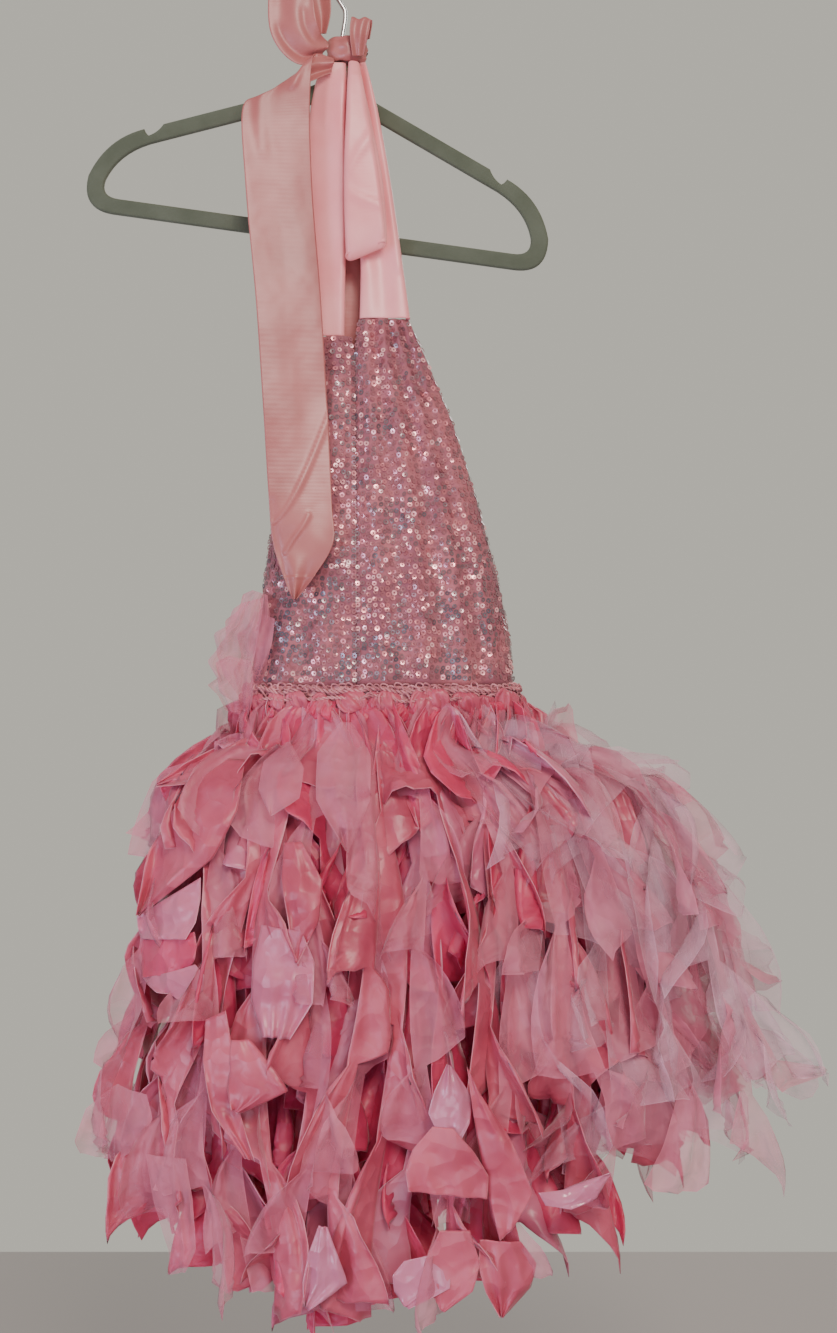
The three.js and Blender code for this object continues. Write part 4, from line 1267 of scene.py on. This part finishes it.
def satin_spread(angle):
    """At the right the satin hangs steeper, and only organza follows the skirt's outline."""
    return mix(0.97, 0.62, smooth(math.cos(angle), 0.1, 0.95)) - 0.1 * smooth(-math.cos(angle), 0.7, 1.0)


# %% A piece and its flat cut
def cut_piece(name, panels, material, wall, slot, *nodes):
    """One piece from (grid, length, width) panels; each panel's UV map is its flat cut, the widest by its
    length: the slits take nothing away, and only the ends are pointed."""
    cloth = Cloth()
    for grid, length, width in panels:
        cloth.add(grid, width, length)
    piece = cloth.make(name, material, wall)
    finish(piece, slot, *nodes)


def strips_piece(name, strips, cut_width, *look):
    cut_piece(name, [(grid, length, cut_width) for grid, length in strips], *look)


# %% Inner, middle and outer rows
SATIN_WALL = 0.5
SATIN_CUT, OUTER_CUT, ORGANZA_CUT, CLOUD_CUT = 76, 74, 86, 112
dice = random.Random(41)
inner = skirt_strips(even_angles(30, *SKIRT_OVAL, 0.1), lambda angle: 0.3 * satin_spread(angle), (-2, 8),
                     5, 50, dice)
middle = skirt_strips(even_angles(38, *SKIRT_OVAL, 0.45), lambda angle: 0.68 * satin_spread(angle), (-8, 8),
                      5, 52, dice)
outer = skirt_strips(even_angles(44, *SKIRT_OVAL, 0.9), satin_spread, (-12, 0, 10), 5, 50, dice)
# The inner and middle rows are in the deep copy, painted shade of the skirt's depths; every third outer strip
# is in the pale copy, painted highlight.
pale = [strip for n, strip in enumerate(outer) if n % 3 == 0]
front = [strip for n, strip in enumerate(outer) if n % 3]
strips_piece("skirt_inner_satin", inner, SATIN_CUT, SATIN_PAINTED_SHADE, SATIN_WALL, "skirt_satin", "skirt_inner")
strips_piece("skirt_middle_satin", middle, SATIN_CUT, SATIN_PAINTED_SHADE, SATIN_WALL, "skirt_satin", "skirt_middle")
strips_piece("skirt_outer_pale_satin", pale, OUTER_CUT, SATIN_PAINTED_LIGHT, SATIN_WALL, "skirt_satin")
strips_piece("skirt_outer_satin", front, OUTER_CUT, SATIN_FRONT, SATIN_WALL, "skirt_satin", "skirt_outer")

# %% Organza strips
dice = random.Random(52)
veil = skirt_strips(even_angles(24, *SKIRT_OVAL, 0.3), lambda angle: 0.97, (4, 12), 6, 46, dice,
                    lift=80, twist=1.0, curl=14, droop=0.6, fold=6)
strips_piece("skirt_organza", veil, ORGANZA_CUT, ORGANZA, 0, "skirt_organza")
cloud_angles = [math.radians(degrees) for degrees in range(-50, 66, 7)]
for name, material, spread, end, curl in (("near", ORGANZA, (0.6, 0.85), -950, 16),
                                          ("far", ORGANZA_CLOUD, (0.8, 1.03), -930, 18)):
    cloud = skirt_strips(cloud_angles, lambda angle: dice.uniform(*spread), (-4, 6), 5, 66, dice,
                         end=end, lift=45, droop=0.5, twist=0.9, curl=curl, fold=8)
    strips_piece(f"skirt_organza_cloud_{name}", cloud, CLOUD_CUT, material, 0, "skirt_organza")

# %% [markdown]
# ## The leaves that lie uppermost
#
# A few leaves lie over the rest and give the skirt its look: the wing at the left of the waist with
# a broad glossy leaf below it, thin organza under the middle of the waist, and the large corners at
# the hem. Each is a panel between two edges, set on the skirt's surface with some lift.

# %% Uppermost leaves
# The cloths pale and gleam are the lighter satin copies, painted highlight; deep is the darker copy, painted
# shade.
# cloth, lift off the skirt, bulge, folds, then x and z down the left edge and down the right edge
LEAVES = [
    ("front", 10, 8, 1, [(-86, -596), (-103, -603), (-126, -615), (-147, -630)],
     [(-85, -606), (-94, -617), (-106, -627), (-146, -632)]),
    ("deep", 6, -4, 1, [(-146, -632), (-142, -641), (-136, -649), (-132, -655)],
     [(-108, -628), (-106, -633), (-109, -638), (-115, -642)]),
    ("front", 12, 12, 1, [(-97, -610), (-123, -635), (-151, -679), (-160, -727)],
     [(-78, -611), (-82, -647), (-100, -682), (-158, -728)]),
    ("pale", 9, 9, 2, [(-161, -729), (-160, -735), (-159, -740), (-158, -745)],
     [(-109, -696), (-109, -712), (-112, -728), (-119, -740)]),
    ("deep", 9, 5, 3, [(-158, -747), (-160, -756), (-158, -765), (-155, -773)],
     [(-113, -735), (-111, -745), (-112, -754), (-117, -763)]),
    ("pale", 10, 6, 2, [(-155, -774), (-150, -778), (-142, -781), (-133, -781)],
     [(-112, -758), (-105, -765), (-106, -776), (-116, -787)]),
    ("organza", 12, 7, 1, [(-48, -598), (-64, -612), (-67, -632), (-58, -650)],
     [(-45, -598), (-34, -616), (-36, -637), (-56, -650)]),
    ("veil", 16, 10, 1, [(-8, -583), (-24, -605), (-24, -638), (-2, -673)],
     [(1, -583), (15, -607), (15, -638), (0, -675)]),
    ("front", 12, 8, 1, [(-47, -669), (-48, -695), (-43, -723), (-38, -752)],
     [(-34, -668), (-19, -695), (-21, -723), (-36, -753)]),
    ("pale", 11, 9, 2, [(-62, -727), (-68, -752), (-70, -780), (-61, -805)],
     [(-33, -730), (-24, -752), (-25, -780), (-41, -806)]),
    ("front", 20, 12, 2, [(60, -864), (46, -880), (41, -895), (43, -909)],
     [(74, -865), (89, -882), (99, -899), (98, -915)]),
    ("gleam", 16, 10, 2, [(70, -822), (61, -840), (57, -855), (70, -882)],
     [(73, -823), (87, -844), (86, -862), (74, -884)]),
    ("front", 18, 8, 1, [(84, -823), (89, -860), (96, -902), (107, -944)],
     [(93, -842), (116, -876), (130, -911), (116, -936)]),
    ("gleam", 14, 12, 3, [(-20, -934), (-27, -953), (-31, -973), (-30, -990)],
     [(-14, -935), (-6, -955), (0, -974), (-27, -993)]),
    ("gleam", 14, 9, 3, [(40, -958), (32, -968), (33, -980), (39, -989)],
     [(58, -954), (71, -965), (72, -977), (43, -991)]),
    ("gleam", 22, 5, 0, [(134, -911), (152, -910), (169, -904), (185, -898)],
     [(139, -920), (157, -923), (175, -916), (186, -900)]),
    ("organza", 4, 8, 2, [(-174, -853), (-199, -873), (-206, -895), (-203, -906)],
     [(-149, -855), (-144, -871), (-152, -892), (-179, -911)]),
    ("organza", 8, 8, 2, [(-148, -896), (-142, -930), (-131, -964), (-130, -982)],
     [(-117, -895), (-112, -925), (-109, -958), (-117, -976)]),
    ("front", 16, 9, 1, [(-83, -808), (-85, -828), (-85, -843), (-82, -855)],
     [(-70, -807), (-51, -827), (-42, -841), (-76, -858)]),
    ("front", 14, 7, 1, [(-103, -796), (-104, -824), (-97, -858), (-73, -890)],
     [(-88, -788), (-81, -822), (-77, -857), (-65, -890)]),
    ("front", 14, 8, 2, [(65, -937), (55, -958), (58, -978), (65, -992)],
     [(86, -937), (93, -960), (88, -979), (68, -994)]),
    ("front", 14, 8, 2, [(93, -944), (92, -962), (97, -980), (107, -998)],
     [(122, -946), (133, -962), (129, -980), (110, -1000)]),
    ("organza", 8, 8, 1, [(311, -835), (302, -838), (306, -847), (315, -853)],
     [(353, -841), (356, -844), (352, -848), (319, -857)]),
]
print(len(LEAVES), "leaves lie uppermost")

# %% A panel between two edges
PANEL_ROWS, PANEL_COLUMNS = 37, 25


def skirt_depth(x, z):
    """How far the front of the skirt lies in front of the hook, at x and z."""
    _, left, right, front, _ = row_at(SKIRT, z)
    half = right - WAIST_X if x > WAIST_X else WAIST_X - left
    return front * math.sqrt(1 - min(abs(x - WAIST_X) / half, 0.97) ** 2)


def edge_at(points, share):
    """A place on a cut edge: nearly straight from corner to corner."""
    scaled = share * (len(points) - 1)
    k = min(int(scaled), len(points) - 2)
    straight = Vector(points[k]).lerp(Vector(points[k + 1]), scaled - k)
    return straight.lerp(Vector(through(points, share)), 0.2)


def leaf_panel(lift, bulge, folds, left, right, seed):
    grid, width = [], 0.0
    for i in range(PANEL_ROWS):
        down = i / (PANEL_ROWS - 1)
        a, b = edge_at(left, down), edge_at(right, down)
        line = []
        for j in range(PANEL_COLUMNS):
            across = j / (PANEL_COLUMNS - 1)
            x, z = a.lerp(b, across)
            fullness = math.sin(math.pi * across) * math.sin(math.pi * min(down + 0.15, 1)) ** 0.6
            off = lift + 0.25 * bulge * fullness
            # Crisp folds run from the narrow top to the free lower edge.
            crease = abs(noise.noise(Vector((across * (1.2 + 0.8 * folds) + seed, down * 0.9, seed * 5.1))))
            off += 1.3 * bulge * (0.45 - crease) * (0.25 + 0.75 * down)
            off += 0.5 * bulge * noise.noise(Vector((x / 30, z / 18, seed * 3.7)))
            curl = abs(2 * across - 1) ** 4 * math.sin(seed * 2.3 + 3.5 * across + 4 * down)
            off += 5 * curl * smooth(down, 0.1, 0.7)
            line.append(held_back(Vector((x, skirt_depth(x, z) - off, z))))
        width = max(width, (b - a).length)
        grid.append(line)
    length = sum((Vector(p) - Vector(q)).length for p, q in zip(left, left[1:]))
    return grid, max(length, 10.0), max(width, 10.0)


# %% The leaves, cloth by cloth
panels = {}
for seed, (cloth_name, *shape) in enumerate(LEAVES):
    panels.setdefault(cloth_name, []).append(leaf_panel(*shape, seed))
# The pale and gleam leaves carry painted highlight, the deep leaves painted shade.
for cloth_name, *look in (("front", SATIN_FRONT, SATIN_WALL, "skirt_satin"),
                          ("pale", SATIN_PAINTED_LIGHT, SATIN_WALL, "skirt_satin"),
                          ("gleam", SATIN_PAINTED_GLEAM, SATIN_WALL, "skirt_satin"),
                          ("deep", SATIN_PAINTED_SHADE, SATIN_WALL, "skirt_satin"),
                          ("organza", ORGANZA, 0, "skirt_organza"), ("veil", ORGANZA, 0, "skirt_organza")):
    cut_piece(f"leaves_{cloth_name}", panels[cloth_name], *look)

# %% [markdown]
# ## The puff at the side of the waist
#
# An end of organza stands out in a crumpled tuft beside the bodice. One sheet with many pleats could
# make it, but four narrow panels that overlap show the same layers with far fewer points, and the
# function for the leaves already makes them.

# %% The puff
# lift, bulge, folds, then x and z down the outer edge and down the inner edge
PUFF = [(2, 15, 6, [(-84, -494), (-91, -499), (-95, -511), (-105, -517), (-103, -529), (-110, -538),
                    (-102, -551), (-100, -562), (-90, -568)],
         [(-66, -490), (-68, -508), (-73, -532), (-78, -556), (-80, -570)]),
        (-8, 14, 6, [(-76, -484), (-84, -487), (-87, -499), (-97, -507), (-96, -519), (-104, -530),
                     (-98, -548), (-86, -566)],
         [(-64, -488), (-62, -506), (-68, -530), (-74, -552), (-78, -568)]),
        (9, 12, 4, [(-93, -534), (-103, -539), (-101, -550), (-109, -556), (-101, -564), (-95, -575)],
         [(-76, -538), (-74, -552), (-74, -566), (-78, -580)]),
        (-2, 10, 3, [(-74, -500), (-80, -512), (-88, -518), (-84, -534), (-90, -546), (-84, -566)],
         [(-58, -506), (-60, -524), (-66, -546), (-72, -568)])]
PUFF_SEED = 70
puff = [leaf_panel(*shape, PUFF_SEED + n) for n, shape in enumerate(PUFF)]
cut_piece("side_puff_organza", puff, ORGANZA, 0, "skirt_organza", "side_puff")
